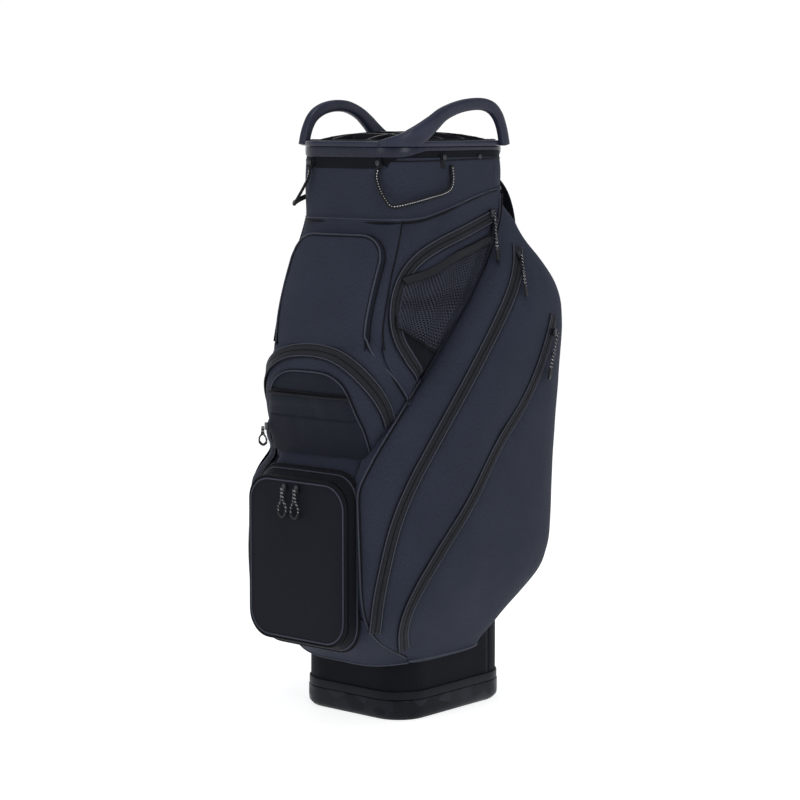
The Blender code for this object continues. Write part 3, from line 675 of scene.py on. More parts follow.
def clear_of_tube(rows, gap=0.0030):
    """Cloth pushed out to where the tube inside lets it lie."""
    rows = np.asarray(rows, float)
    far, way = to_plan(rows, *TUBE_PLAN)
    return rows + way * np.maximum(gap - far, 0)[..., None]


def tucked(rows, start, end):
    """Cloth drawn in under the cuff between two heights."""
    rows = np.asarray(rows, float)
    far, way = to_plan(rows, *UNDER_CUFF)
    f = smooth01((rows[..., 2] - start) / (end - start))
    return rows - way * (np.maximum(far, 0) * f)[..., None]


def clothing_skin(z, t):
    z, t = np.asarray(z, float), np.asarray(t, float)
    x0, y0, y1, x1 = (eased(CLOTHING, c, z) for c in (1, 2, 3, 4))
    a = np.pi * np.clip(t, 0, 1)
    base = np.where(t < 0.5, x0, SPINE_X)
    power = np.where(t < 0.5, 1 / 0.90, 1 / 1.85)
    c = np.cos(a)
    x = base + (x1 - base) * np.clip(np.sin(a), 0, 1) ** power
    y = (y0 + y1) / 2 - (y1 - y0) / 2 * np.abs(c) ** power * np.sign(c)
    return np.stack([x, y, z + 0 * t], -1)


def flank_skin(z, t):
    z, t = np.asarray(z, float), np.asarray(t, float)
    x0, y0, x1 = (eased(FLANK, c, z) for c in (1, 2, 3))
    y1 = eased(CLOTHING, 2, z) - 0.001
    e = smooth01(t * 1.7)
    top = smooth01((z - 0.66) / 0.085)
    low = np.clip((z - 0.475) / 0.06, 0, 1)
    bulge = (0.0115 - 0.0095 * top) * low * np.sin(np.pi * np.clip(t, 0, 1)) ** 0.8
    return np.stack([x0 + (x1 - x0) * e + bulge, y0 + (y1 - y0) * t, z + 0 * t], -1)


def front_skin(z, s):
    z, s = np.asarray(z, float), np.asarray(s, float)
    xc, yc, ym = (eased(FRONT, c, z) for c in (1, 2, 3))
    return np.stack([xc * s, ym + (yc - ym) * np.abs(s) ** 3.5, z + 0 * s], -1)


def middle_skin(z, s):
    z, s = np.asarray(z, float), np.asarray(s, float)
    hx, yb, yf = (eased(MIDDLE, c, z) for c in (1, 2, 3))
    a = s * np.pi / 2
    return np.stack([hx * np.abs(np.sin(a)) ** 0.55 * np.sign(s),
                     yb + (yf - yb) * np.clip(np.cos(a), 0, 1) ** 0.50, z + 0 * s], -1)


def rounded(width, depth, radius):
    """A rectangle with round corners, seen from above."""
    n = 10
    pts = []
    for sx, sy, a0 in ((1, 1, 0), (-1, 1, 90), (-1, -1, 180), (1, -1, 270)):
        for i in range(n + 1):
            a = radians(a0 + 90 * i / n)
            pts.append((sx * (width / 2 - radius) + radius * cos(a),
                        sy * (depth / 2 - radius) + radius * sin(a)))
    return np.array(pts)


def resampled(outline, count):
    """Even points round a closed plan outline."""
    ring = np.vstack([outline, outline[:1]])
    d = along(ring)
    return read_at(d, ring, np.linspace(0, d[-1], count, endpoint=False))


def level(plan, z):
    """A plan outline set at a height, or at one height for each of its points."""
    return np.column_stack([plan, np.zeros(len(plan)) + z])


def solid_rows(name, rows, mat, body=BAG):
    """A closed solid from rings of points, capped at both ends."""
    rows = np.asarray(rows, float)
    n, m = rows.shape[:2]
    around = np.concatenate([np.zeros((n, 1)),
                             np.cumsum(np.linalg.norm(np.diff(rows, axis=1), axis=2), 1)], 1)
    up = along(rows[:, 0])
    uvs = np.stack([around, np.repeat(up[:, None], m, 1)], -1).reshape(-1, 2)
    return new_piece(name, rows.reshape(-1, 3), capped(n, m), mat, uvs, body)


def hoop(name, corners, mat):
    """A closed ring whose cross-section is a loop of corners: height and the plan there."""
    m = 160
    rows = np.array([level(resampled(rounded(*plan), m), z) for z, *plan in corners])
    n = len(rows)
    faces = [tuple(v % (n * m) for v in face) for face in quads(n + 1, m)]
    uvs = np.stack([np.tile(along(rows[0]), n), rows[..., 2].ravel()], 1)
    obj = new_piece(name, rows.reshape(-1, 3), faces, mat, uvs)
    face_out(obj)
    return obj


def cad_copy(name, mat, bevel=0.0, body=BAG):
    """A merged copy of a CAD solid with softened edges, standing for it."""
    angle = radians(38)
    obj = bpy.data.objects.new(name + "_finished", nodes[name].data.copy())
    scene.collection.objects.link(obj)
    bm = bmesh.new()
    bm.from_mesh(obj.data)
    bmesh.ops.remove_doubles(bm, verts=bm.verts, dist=1e-5)
    bmesh.ops.dissolve_limit(bm, angle_limit=radians(1.0), verts=bm.verts, edges=bm.edges)
    bmesh.ops.recalc_face_normals(bm, faces=bm.faces)
    bm.to_mesh(obj.data)
    bm.free()
    obj.data.materials.clear()
    obj.data.materials.append(mat)
    deselect()
    obj.select_set(True)
    bpy.context.view_layer.objects.active = obj
    if bevel:
        mod = obj.modifiers.new("edge", "BEVEL")
        mod.width, mod.segments, mod.limit_method = bevel, 2, "ANGLE"
        mod.angle_limit = angle
        bpy.ops.object.modifier_apply(modifier="edge")
    bpy.ops.object.shade_smooth_by_angle(angle=angle)
    obj.data.validate()
    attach(obj, body)
    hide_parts(name)


def offset(rows, by):
    return np.asarray(rows) + skin_normals(rows) * np.asarray(by)[..., None]


def cuff_edge(y):
    return 0.720 + 0.045 * smooth01((np.asarray(y) + 0.12) / 0.24)


# ---- zip and seam lines, as (height, place across the skin) -------------------------------
F_ZIP = [(0.682, 0.450), (0.671, 0.425), (0.626, 0.325), (0.577, 0.288), (0.523, 0.279),
         (0.470, 0.266), (0.408, 0.250), (0.351, 0.222), (0.326, 0.200), (0.289, 0.169),
         (0.232, 0.138), (0.178, 0.100), (0.145, 0.060)]
G_ZIP = [(0.580, 0.572), (0.527, 0.551), (0.466, 0.524), (0.421, 0.501), (0.367, 0.466),
         (0.330, 0.431), (0.300, 0.388), (0.264, 0.332), (0.228, 0.286), (0.186, 0.248),
         (0.113, 0.180)]
C_ZIP = [(0.506, 0.760), (0.514, 0.560), (0.528, 0.340), (0.548, 0.170), (0.575, 0.098),
         (0.608, 0.072), (0.633, 0.068), (0.654, 0.094), (0.671, 0.170), (0.687, 0.330),
         (0.702, 0.560), (0.716, 0.780), (0.727, 0.960)]
ARCH_ZIP = [(0.440, -0.985), (0.457, -0.900), (0.487, -0.670), (0.512, -0.490), (0.533, -0.260),
            (0.541, -0.060), (0.541, 0.040), (0.533, 0.220), (0.512, 0.455), (0.487, 0.670),
            (0.457, 0.900), (0.440, 0.985)]
POUCH = [(0.392, -0.765), (0.413, -0.653), (0.449, -0.405), (0.482, -0.285), (0.496, -0.215),
         (0.506, -0.120), (0.510, -0.040), (0.510, 0.040), (0.506, 0.120), (0.496, 0.215),
         (0.482, 0.285), (0.449, 0.405), (0.413, 0.653), (0.392, 0.765)]


# ---- clothing pockets ---------------------------------------------------------------------
def clothing_rows():
    z = np.linspace(0.092, 0.766, 230)
    t = np.linspace(0, 1, 110)
    rows = clothing_skin(z[:, None], t[None, :])
    seams = [line_on(clothing_skin, F_ZIP)[0], line_on(clothing_skin, G_ZIP)[0],
             rows[:, 0], rows[:, -1]]
    rows = soften(rows, seams, 0.0024, 0.018)
    rows = crease(rows, 0.0022, 9.0, 2.0, (1, 1, 0.6))
    rows = crease(rows, 0.0009, 24.0, 8.0, (1, 1, 0.7))
    rows = clear_of_tube(tucked(rows, 0.716, 0.757), 0.0012)
    edge = rows[0]
    floor = []
    for f, dz in ((0.88, -0.0050), (0.55, -0.0060), (0.35, -0.0062)):
        q = edge.copy()
        q[:, 0] = 0.070 + (edge[:, 0] - 0.070) * f
        q[:, 1] = edge[:, 1] * (0.6 + 0.4 * f)
        q[:, 2] = edge[:, 2] + dz
        floor.insert(0, q)
    return np.concatenate([np.array(floor), rows])


def clothing_pocket(side, tag):
    rows = clothing_rows()
    obj = shell("clothing_pocket_" + tag, sided(side, rows), NAVY, 0.0022)
    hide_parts("apparel_pocket_" + tag, "side_pocket_" + tag)
    for name, line in (("main", F_ZIP), ("rear", G_ZIP)):
        p, n = zip_run("%s_zip_%s" % (name, tag), clothing_skin, line, 0.0125, -0.0006, side)
        _, s, _ = frames(p, n)
        for k, sign in enumerate((1, -1)):
            stitches("%s_zip_stitch_%s_%d" % (name, tag, k), p + s * sign * 0.0122 + n * 0.0014, n)
    front = [(z, 0.0) for z in np.linspace(0.096, 0.758, 60)]
    p, n = line_on(clothing_skin, front, -0.0012)
    n = n * 0 + unit((0.45, -0.89, 0.0))
    p = p + n * 0.0004
    p, n = handed(side, p, n)
    sweep("front_edge_piping_" + tag, p, n, round_profile(0.0015), PIPING_HIGHLIGHT)
    _, s, _ = frames(p, n)
    # Black groove tube beside the piping: painted shade in the seam's groove.
    sweep("front_edge_groove_" + tag, p - s * side * 0.0026, n, round_profile(0.0012), PIPE)
    inside = [(z, 0.034) for z in np.linspace(0.10, 0.752, 60)]
    p, n = handed(side, *line_on(clothing_skin, inside, 0.0010))
    stitches("front_edge_stitch_" + tag, p, n)
    low = [(0.0925, t) for t in np.linspace(0.0, 1.0, 40)]
    p, n = handed(side, *line_on(clothing_skin, low, 0.0002))
    sweep("clothing_low_piping_" + tag, p, n, round_profile(0.0017), PIPING_HIGHLIGHT)
    back = [(z, 0.985) for z in np.linspace(0.096, 0.758, 40)]
    p, n = handed(side, *line_on(clothing_skin, back, 0.0004))
    sweep("clothing_back_piping_" + tag, p, n, round_profile(0.0015), PIPING_HIGHLIGHT)


# ---- upper side pockets -------------------------------------------------------------------
# Places across the side, then heights there: net's top and bottom, bottom of the pit behind.
NET_T = [0.125, 0.138, 0.325, 0.525, 0.730, 0.875, 0.930]
NET_HIGH = [0.632, 0.634, 0.644, 0.665, 0.676, 0.684, 0.685]
NET_LOW = [0.590, 0.576, 0.562, 0.549, 0.541, 0.537, 0.540]
PIT_LOW = [0.556, 0.552, 0.532, 0.519, 0.512, 0.512, 0.520]


def window_rows(low, high, lift):
    """The window's cloth between two height curves, raised by lift(t, v)."""
    t = np.linspace(NET_T[0], NET_T[-1], 70)
    lo, hi = np.interp(t, NET_T, low), np.interp(t, NET_T, high)
    v = np.linspace(0, 1, 48)[:, None]
    rows = flank_skin(lo + (hi - lo) * v, t[None, :] + 0 * v)
    return offset(rows, lift(t, v))


def flank_pocket(side, tag):
    t = np.linspace(0, 1, 90)[None, :]
    y = flank_skin(0.742 + 0 * t, t)[..., 1]
    top = cuff_edge(y) + 0.004
    v = np.linspace(0, 1, 150)[:, None]
    rows = flank_skin(0.465 + (top - 0.465) * v, t + 0 * v)
    seams = [line_on(flank_skin, C_ZIP)[0], rows[:, 0], rows[:, -1]]
    rows = soften(rows, seams, 0.0022, 0.012)
    rows = clear_of_tube(crease(rows, 0.0014, 16.0, 4.0))
    shell("upper_side_pocket_" + tag, sided(side, rows), NAVY, 0.0020)
    zip_run("upper_zip_" + tag, flank_skin, C_ZIP, 0.0125, 0.0002, side)
    corner = [(zz, 0.014) for zz in np.linspace(0.545, 0.722, 40)]
    p, n = handed(side, *line_on(flank_skin, corner, -0.0014))
    sweep("corner_piping_" + tag, p, n, round_profile(0.0012), PIPE)
    # black sheet behind the net, painted shade for the pocket's inside, and the net itself in soft
    # upright folds
    pit = window_rows(PIT_LOW, NET_HIGH, lambda t, v: 0.0010 + 0 * t * v)
    shell("net_pit_" + tag, sided(side, pit), BLACK_CLOTH, 0.0)

    def folds(t, v):
        wave = 0.5 + 0.5 * np.cos(2 * pi * (t - 0.20) / 0.270)
        return 0.0020 + 0.0060 * wave ** 1.2 * (0.45 + 0.55 * np.sin(pi * np.clip(v, 0.02, 0.98)))

    net_rows = window_rows(NET_LOW, NET_HIGH, folds)
    netting = shell("net_pocket_" + tag, sided(side, net_rows), NET, 0.0)
    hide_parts("mesh_pocket_" + tag)
    p, n = handed(side, *even(net_rows[0], skin_normals(net_rows)[0]))
    sweep("net_low_hem_" + tag, p, n, strip_profile(0.0022, 0.0010), PIPE)
    top = [(z + 0.0055, t) for t, z in zip(NET_T, NET_HIGH)]
    p, n = handed(side, *line_on(flank_skin, top, 0.0040))
    sweep("net_binding_" + tag, p, n, strip_profile(0.0110, 0.0014, 0.0008), TAPE)
    ridge = [(z + 0.0125, t) for t, z in zip(NET_T, NET_HIGH)]
    p, n = handed(side, *line_on(flank_skin, ridge, 0.0016))
    # Black groove tube above the net binding: painted shade in the groove under the ridge.
    sweep("net_ridge_groove_" + tag, p, n, round_profile(0.0009), PIPE)
    edge = [(z, 0.955) for z in np.linspace(0.500, 0.722, 50)]
    p, n = handed(side, *line_on(flank_skin, edge, 0.0024))
    sweep("net_side_binding_" + tag, p, n, strip_profile(0.0052, 0.0016, 0.0006), DUSK)
    _, s, _ = frames(p, n)
    # Black groove tubes either side of the binding: painted shade in the grooves.
    for k, a in enumerate((0.0034, -0.0034)):
        sweep("net_side_groove_%s_%d" % (tag, k), p + s * a, n, round_profile(0.0008), PIPE)


both_sides(clothing_pocket)
both_sides(flank_pocket)


# ---- upper front --------------------------------------------------------------------------
ARCH_TOP, ARCH_HALF, ARCH_R = 0.700, 0.0830, 0.038


def arch_half(z):
    d = np.clip((z - (ARCH_TOP - ARCH_R)) / ARCH_R, 0, 1)
    return ARCH_HALF - ARCH_R + ARCH_R * np.sqrt(np.maximum(1 - d * d, 0))


def front_point(x, z):
    return front_skin(z, x / eased(FRONT, 1, z))


def arch_line(grow=0.0):
    """The arch panel's outline on the front, from low left over the top to low right."""
    n = 11
    half, top, r = ARCH_HALF + grow, ARCH_TOP + grow, ARCH_R + grow
    pts = [(-half, z) for z in np.linspace(0.530, top - r, 20)]
    pts += [(-(half - r) + r * cos(pi - pi / 2 * k / n), top - r + r * sin(pi - pi / 2 * k / n))
            for k in range(1, n)]
    pts += [(x, top) for x in np.linspace(-(half - r), half - r, 16)]
    pts += [(half - r + r * cos(pi / 2 - pi / 2 * k / n),
             top - r + r * sin(pi / 2 - pi / 2 * k / n)) for k in range(1, n)]
    pts += [(half, z) for z in np.linspace(top - r, 0.530, 20)]
    pts = np.array(pts)
    base = front_point(pts[:, 0], pts[:, 1])
    e = 0.001
    du = front_point(pts[:, 0] + e, pts[:, 1]) - front_point(pts[:, 0] - e, pts[:, 1])
    dv = front_point(pts[:, 0], pts[:, 1] + e) - front_point(pts[:, 0], pts[:, 1] - e)
    normal = np.cross(du, dv)
    return base, unit(normal)


def upper_front():
    z = np.linspace(0.520, 0.7245, 90)
    s = np.linspace(-1, 1, 90)
    rows = front_skin(z[:, None], s[None, :])
    rows = soften(rows, [rows[:, 0], rows[:, -1]], 0.0020, 0.010)
    obj = shell("upper_front", clear_of_tube(crease(rows, 0.0012, 20.0)), NAVY, 0.0022)
    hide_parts("upper_front_pocket")
    z = np.concatenate([np.linspace(0.520, 0.690, 70),
                        ARCH_TOP - 0.010 * (1 - np.linspace(0.0, 1.0, 14)[1:]) ** 1.6])
    q = np.linspace(-1, 1, 80)
    half = arch_half(z)
    x = half[:, None] * q[None, :]
    rows = front_point(x, z[:, None] + 0 * x)
    edge = np.minimum((1 - np.abs(q))[None, :] * half[:, None], (ARCH_TOP - z)[:, None] + 0 * x)
    puff = 0.0095 + 0.0030 * smooth01(edge / 0.045) - 0.0020 * np.exp(-edge / 0.004)
    panel = crease(crease(offset(rows, puff), 0.0012, 12.0, 5.0), 0.0005, 34.0, 6.0)
    shell("arch_panel", panel, NAVY, 0.0020)
    base, n = arch_line()
    foot, _ = arch_line(0.0035)
    wall = np.array([base * (1 - f) + foot * f + n * h
                     for f, h in ((1.0, -0.001), (0.8, 0.003), (0.4, 0.0065), (0.0, 0.0088))])
    # The gusset wall takes the darker dark_nylon: painted shade along the sides of the raised arch
    # panel.
    shell("arch_gusset", wall, DUSK, 0.0)
    tail_z = np.array([0.470, 0.480, 0.492, 0.505, 0.518])
    tail, tail_n = point_and_normal(flank_skin, tail_z, 0.02 + 0 * tail_z)
    tail = tail + tail_n * 0.0012
    keep = slice(1, -1)
    p = np.vstack([tail * (-1, 1, 1), (base + n * 0.0092)[keep], tail[::-1]])
    nn = np.vstack([tail_n * (-1, 1, 1), n[keep], tail_n[::-1]])
    path = smooth_path(np.hstack([p, nn]), 260)
    share = smooth01((0.562 - path[:, 2:3]) / 0.020)
    for _ in range(10):
        path = path * (1 - share) + share * averaged(path, 6)
    p, nn = even(path[:, :3], path[:, 3:])
    sweep("arch_piping", p, nn, round_profile(0.0014), PIPING_HIGHLIGHT)
    _, side, _ = frames(p, nn)
    # Black groove tube beside the arch piping: painted shade in the seam's groove.
    sweep("arch_groove", p - side * 0.0022 - nn * 0.0006, nn, round_profile(0.0011), PIPE)
    p, nn = even(foot + n * 0.0004, n)
    sweep("arch_foot_piping", p, nn, round_profile(0.0011), PIPE)


# ---- middle pocket ------------------------------------------------------------------------
def middle_pocket():
    z = np.linspace(0.380, 0.570, 110)
    s = np.linspace(-1, 1, 150)
    rows = middle_skin(z[:, None], s[None, :])
    rows = soften(rows, [line_on(middle_skin, ARCH_ZIP, count=240)[0]], 0.0020, 0.013)
    obj = shell("middle_pocket_body", crease(rows, 0.0016, 13.0, 11.0), NAVY, 0.0022)
    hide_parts("middle_pocket")
    zip_run("middle_zip", middle_skin, ARCH_ZIP, 0.0165, 0.0002)
    zz = np.linspace(0.392, 0.5095, 110)
    reach = np.interp(zz, [0.392, 0.413, 0.449, 0.482, 0.496, 0.506, 0.5090, 0.5095],
                      [0.765, 0.653, 0.405, 0.285, 0.215, 0.120, 0.060, 0.040])
    q = np.linspace(-1, 1, 70)
    spread = reach[:, None] * q[None, :]
    rows = middle_skin(zz[:, None] + 0 * spread, spread)
    inner = (1 - np.abs(q) ** 10)[None, :]
    lower = 0.0050 * smooth01((0.4765 - zz) / 0.0012) * (0.6 + 0.4 * smooth01((zz - 0.392) / 0.03))
    fold = 0.0022 * np.exp(-((zz - 0.4465) / 0.0020) ** 2)
    sag = 0.0028 * np.exp(-((zz - 0.468) / 0.007) ** 2)
    rows = offset(rows, (lower - fold + sag)[:, None] * inner + 0.0012)
    pouch = shell("slip_pouch", crease(rows, 0.0018, 22.0, 21.0, (1.6, 1.6, 0.8)), DUSK, 0.0014)
    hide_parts("slot_pouch")
    p, n = line_on(middle_skin, POUCH, 0.0022, count=260)
    sweep("slip_pouch_piping", p, n, round_profile(0.0011), PIPING_HIGHLIGHT)
    _, side, _ = frames(p, n)
    # Black groove tube beside the pouch piping: painted shade in the seam's groove.
    sweep("slip_pouch_groove", p + side * 0.0021 - n * 0.0008, n, round_profile(0.0010), PIPE)
    lip = [(0.4765, s) for s in np.linspace(-0.315, 0.315, 20)]
    p, n = line_on(middle_skin, lip, 0.0052, 0.003)
    sweep("slip_pouch_lip", p, n, strip_profile(0.0042, 0.0012, 0.0006), WEB)
    # A black strip under the lip: painted shade in the pouch's mouth.
    gap = [(0.4800, s) for s in np.linspace(-0.300, 0.300, 20)]
    p, n = line_on(middle_skin, gap, 0.0022, 0.003)
    sweep("slip_pouch_mouth", p, n, strip_profile(0.0050, 0.0008), PIPE)


upper_front()
middle_pocket()


# ---- ball pocket --------------------------------------------------------------------------
BALL_HALF, BALL_LOW, BALL_TOP, BALL_R = 0.094, 0.124, 0.360, 0.036
BALL_MID = (BALL_LOW + BALL_TOP) / 2


def ball_outline(inset=0.0):
    """Rounded outline of the pocket seen from the front, as (x, z), starting low."""
    x = BALL_HALF - inset - BALL_R
    low, top = BALL_LOW + inset + BALL_R, BALL_TOP - inset - BALL_R
    pts = []
    for cx, cz, a0 in ((x, low, -90), (x, top, 0), (-x, top, 90), (-x, low, 180)):
        for k in range(13):
            a = radians(a0 + 90 * k / 12)
            pts.append((cx + BALL_R * cos(a), cz + BALL_R * sin(a)))
    return resampled(np.array(pts), 150)


def ball_pocket():
    plan = ball_outline()
    mid = np.array([0.0, BALL_MID])
    out = unit(plan - mid)
    loops = []
    for y, grow, lift in ((-0.2262, -0.0020, 0.0), (-0.2250, 0.0, 0.0), (-0.2180, 0.0010, 0.003),
                          (-0.2100, 0.0022, 0.009), (-0.2040, 0.0024, 0.016),
                          (-0.2020, -0.0010, 0.018), (-0.1980, -0.006, 0.019),
                          (-0.1500, -0.016, 0.019)):
        f = plan + out * grow
        f[:, 1] = f[:, 1] + 0.7 * lift * smooth01((f[:, 1] - 0.25) / 0.10)
        f[:, 1] = f[:, 1] - 0.5 * lift * smooth01((0.20 - f[:, 1]) / 0.08)
        loops.append(np.column_stack([f[:, 0], np.full(len(f), y), f[:, 1]]))
    rows = np.array(loops)
    gusset = shell("ball_pocket_shell", np.concatenate([rows, rows[:, :1]], 1)[::-1], BLACK_CLOTH,
                   0.0020)
    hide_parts("ball_pocket")
    for tag, row, r, mat in (("back", rows[4], 0.0016, PIPE), ("back_edge", rows[3], 0.0011, PIPING_HIGHLIGHT),
                             ("front", rows[1], 0.0012, PIPE)):
        ring = np.vstack([row, row[:1]])
        p, n = even(ring, unit(ring - (0, ring[0, 1], BALL_MID)))
        sweep("ball_piping_" + tag, p, n, round_profile(r), mat)
    q = ball_outline(0.0006)
    rings = []
    for f, y in ((1.0, -0.2264), (1.0, -0.2290), (0.985, -0.2312), (0.94, -0.2326),
                 (0.80, -0.2338), (0.60, -0.2343), (0.40, -0.2346), (0.20, -0.2347),
                 (0.02, -0.2347)):
        xz = mid + (q - mid) * f
        rings.append(np.column_stack([xz[:, 0], np.full(len(q), y), xz[:, 1]]))
    rows = np.array(rings)
    front = solid_rows("ball_panel", rows, PANEL, "ball_pocket_panel")
    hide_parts("ball_pocket_panel")
    for tag, row, lift, r, mat in (("outer", rows[1], 0.0012, 0.0018, PIPE),
                                   ("inner", rows[2] * 0.5 + rows[3] * 0.5, 0.0004, 0.0011, PIPING_HIGHLIGHT)):
        ring = np.vstack([row, row[:1]]) - (0, lift, 0)
        p, n = even(ring, np.zeros_like(ring) + (0, -1, 0))
        sweep("ball_panel_piping_" + tag, p, n, round_profile(r), mat, "ball_pocket_panel")


def shell_top():
    """Cloth between the ball pocket's back seam and the middle pocket's lower edge."""
    v = np.linspace(0, 1, 24)[:, None]
    s = np.linspace(-1, 1, 90)[None, :]
    low_z = 0.300 + 0.062 * np.sqrt(np.maximum(1 - np.abs(s) ** 6, 0))
    z = low_z + (0.392 - low_z) * v
    x = 0.0985 * s * (1 - 0.02 * v)
    y = -0.2035 + 0.0165 * smooth01(v) + 0.055 * np.abs(s) ** 9 * (0.4 + 0.6 * v)
    rows = np.stack([x + 0 * z, y + 0 * z, z], -1)
    shell("shell_top", crease(rows, 0.0014, 18.0, 31.0), NAVY, 0.0015)


def seam_gusset(side, tag):
    """Cloth behind a clothing pocket's front seam, joining it to the front pockets."""
    z = np.linspace(0.094, 0.560, 110)
    edge, way = point_and_normal(clothing_skin, z, 0 * z + 0.004)
    edge = edge - way * 0.0022
    inner = np.column_stack([0 * z + 0.084, edge[:, 1] + 0.003, z])
    rows = inner[:, None] + (edge - inner)[:, None] * np.linspace(0, 1, 14)[None, :, None]
    rows = sided(side, rows)
    shell("seam_gusset_" + tag, crease(rows, 0.0008, 22.0, 61.0), NAVY, 0.0012)


ball_pocket()
shell_top()
both_sides(seam_gusset)


# ---- pocket bottom between the clothing pockets -------------------------------------------
def apron():
    s = np.linspace(-1, 1, 80)[None, :]
    v = np.linspace(0, 1, 40)[:, None]
    z = 0.0800 + 0.085 * v ** 1.3 + 0.010 * np.abs(s) ** 3 * (1 - v)
    seam = clothing_skin(np.maximum(z, 0.0935), 0 * z)
    w = np.abs(s) ** 5
    y = (-0.1340 - 0.072 * smooth01(v * 1.25) ** 0.8) * (1 - w) + (seam[..., 1] + 0.0015) * w
    x = s * (0.1050 * (1 - w) + seam[..., 0] * w)
    rows = crease(np.stack([x, y, z], -1), 0.0014, 16.0, 41.0)
    obj = shell("shell_bottom", rows, NAVY, 0.0020)
    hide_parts("lower_apron")
    p, n = even(rows[0], skin_normals(rows)[0])
    sweep("shell_bottom_piping", p, n, round_profile(0.0016), PIPING_HIGHLIGHT)
    under = np.array([rows[0], rows[0] * (0.95, 0.95, 1) - (0, 0, 0.001)])
    shell("shell_bottom_under", under[::-1], DUSK, 0.0015)


def tube():
    plan = resampled(rounded(*TUBE_PLAN), 120)
    rows = np.array([level(plan, z) for z in np.linspace(0.0302, 0.7995, 60)])
    rows = np.concatenate([rows, rows[:, :1]], 1)
    obj = shell("tube_sleeve", crease(rows, 0.0005, 12.0), BLACK_CLOTH, 0.0025)
    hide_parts("body_tube")


apron()
tube()


# ---- cuff under the collar ----------------------------------------------------------------
def cuff():
    plan = resampled(rounded(*CUFF_PLAN), 200)
    low = cuff_edge(plan[:, 1])
    rows = []
    for f in np.linspace(0, 1, 40):
        swell = 0.0016 * np.sin(pi * f) + 0.0012 * np.exp(-f / 0.06)
        rows.append(level(plan + unit(plan) * swell, low + (0.8120 - low) * f))
    rows = np.array(rows)
    rows = np.concatenate([rows, rows[:, :1]], 1)
    rows = crease(crease(rows, 0.0010, 14.0, 51.0), 0.0004, 40.0, 52.0, (1, 1, 0.3))
    obj = shell("cuff_cloth", rows, NAVY, 0.0020)
    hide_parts("cuff")
    normals = skin_normals(rows)
    for tag, row, lift, r, mat in (("low", 0, 0.0002, 0.0016, PIPE), ("edge", 2, 0.0006, 0.0011, PIPING_HIGHLIGHT),
                                   ("top", 37, 0.0002, 0.0010, PIPE)):
        p, n = even(rows[row] + normals[row] * lift, normals[row])
        sweep("cuff_piping_" + tag, p, n, round_profile(r), mat)
    p, n = even(rows[4] + normals[4] * 0.0005, normals[4], 0.002)
    stitches("cuff_stitch", p, n)


cuff()


# ---- carry handles on the collar ----------------------------------------------------------
# Centre line, half height and half thickness, from the front corner of the collar.
BLADE = [(0.0560, -0.1262, 0.8320, 0.0045, 0.0030), (0.0740, -0.1250, 0.8330, 0.0060, 0.0040),
         (0.0900, -0.1140, 0.8350, 0.0100, 0.0052), (0.0995, -0.0980, 0.8385, 0.0150, 0.0060),
         (0.1030, -0.0800, 0.8470, 0.0150, 0.0064), (0.1045, -0.0580, 0.8600, 0.0125, 0.0066),
         (0.1050, -0.0350, 0.8735, 0.0102, 0.0068), (0.1053, -0.0050, 0.8830, 0.0092, 0.0070),
         (0.1056, 0.0250, 0.8876, 0.0090, 0.0070), (0.1060, 0.0520, 0.8880, 0.0090, 0.0070),
         (0.1064, 0.0720, 0.8830, 0.0092, 0.0070), (0.1068, 0.0850, 0.8730, 0.0088, 0.0068),
         (0.1072, 0.0930, 0.8600, 0.0082, 0.0066), (0.1074, 0.0985, 0.8450, 0.0082, 0.0066),
         (0.1074, 0.1020, 0.8290, 0.0086, 0.0068)]
# The other handle stands the same way round, and its broad end drops behind the dividers.
REAR_BLADE = [(0.0560, -0.0660, 0.8320, 0.0045, 0.0030), (0.0900, -0.0700, 0.8350, 0.0090, 0.0052),
              (0.0990, -0.0630, 0.8400, 0.0120, 0.0060), (0.1030, -0.0510, 0.8500, 0.0125, 0.0064),
              (0.1045, -0.0380, 0.8620, 0.0112, 0.0066), (0.1050, -0.0190, 0.8750, 0.0096, 0.0068),
              (0.1053, 0.0060, 0.8842, 0.0090, 0.0070), (0.1056, 0.0300, 0.8862, 0.0088, 0.0070),
              (0.1060, 0.0520, 0.8835, 0.0088, 0.0070), (0.1064, 0.0700, 0.8770, 0.0088, 0.0070),
              (0.1068, 0.0820, 0.8680, 0.0084, 0.0068), (0.1072, 0.0895, 0.8570, 0.0080, 0.0066),
              (0.1074, 0.0950, 0.8440, 0.0080, 0.0066), (0.1074, 0.0985, 0.8290, 0.0084, 0.0068)]


FLANGE_LOW = 0.8278                               # nothing of a grip reaches below this height


def grip(name, table, turn):
    """A moulded handle swept along its centre line, turned half round for the left one."""
    path = smooth_path(table, 110)
    p, hh, ht = path[:, :3], path[:, 3], path[:, 4]
    if turn:
        p = p * (-1, -1, 1)
    outward = np.array([1.0, 0, 0]) * (-1 if turn else 1)
    t = unit(np.gradient(p, axis=0))
    up = unit(np.cross(t, outward))
    out = np.cross(up, t)
    rings = []
    for k in range(24):
        a = 2 * pi * k / 24
        c, s = cos(a), sin(a)
        u = np.sign(c) * abs(c) ** 0.62
        w = np.sign(s) * abs(s) ** 0.75
        rings.append(p + up * (hh * u)[:, None] + out * (ht * w)[:, None])
    rows = np.stack(rings, 1)
    rows[..., 2] = np.maximum(rows[..., 2], FLANGE_LOW)
    face_out(solid_rows(name, rows, GRIP))


def collar():
    levels = [(0.8276, 0.2130, 0.2565, 0.0530), (0.8280, 0.2150, 0.2585, 0.0540),
              (0.8330, 0.2150, 0.2585, 0.0540), (0.8352, 0.2120, 0.2555, 0.0525),
              (0.8356, 0.2070, 0.2505, 0.0500), (0.8340, 0.2025, 0.2460, 0.0475),
              (0.8276, 0.2010, 0.2445, 0.0465)]
    ring = hoop("handle_frame", levels, GRIP)
    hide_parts("handle_ring")
    grip("grip_right", BLADE, False)
    grip("grip_left", REAR_BLADE, True)


collar()


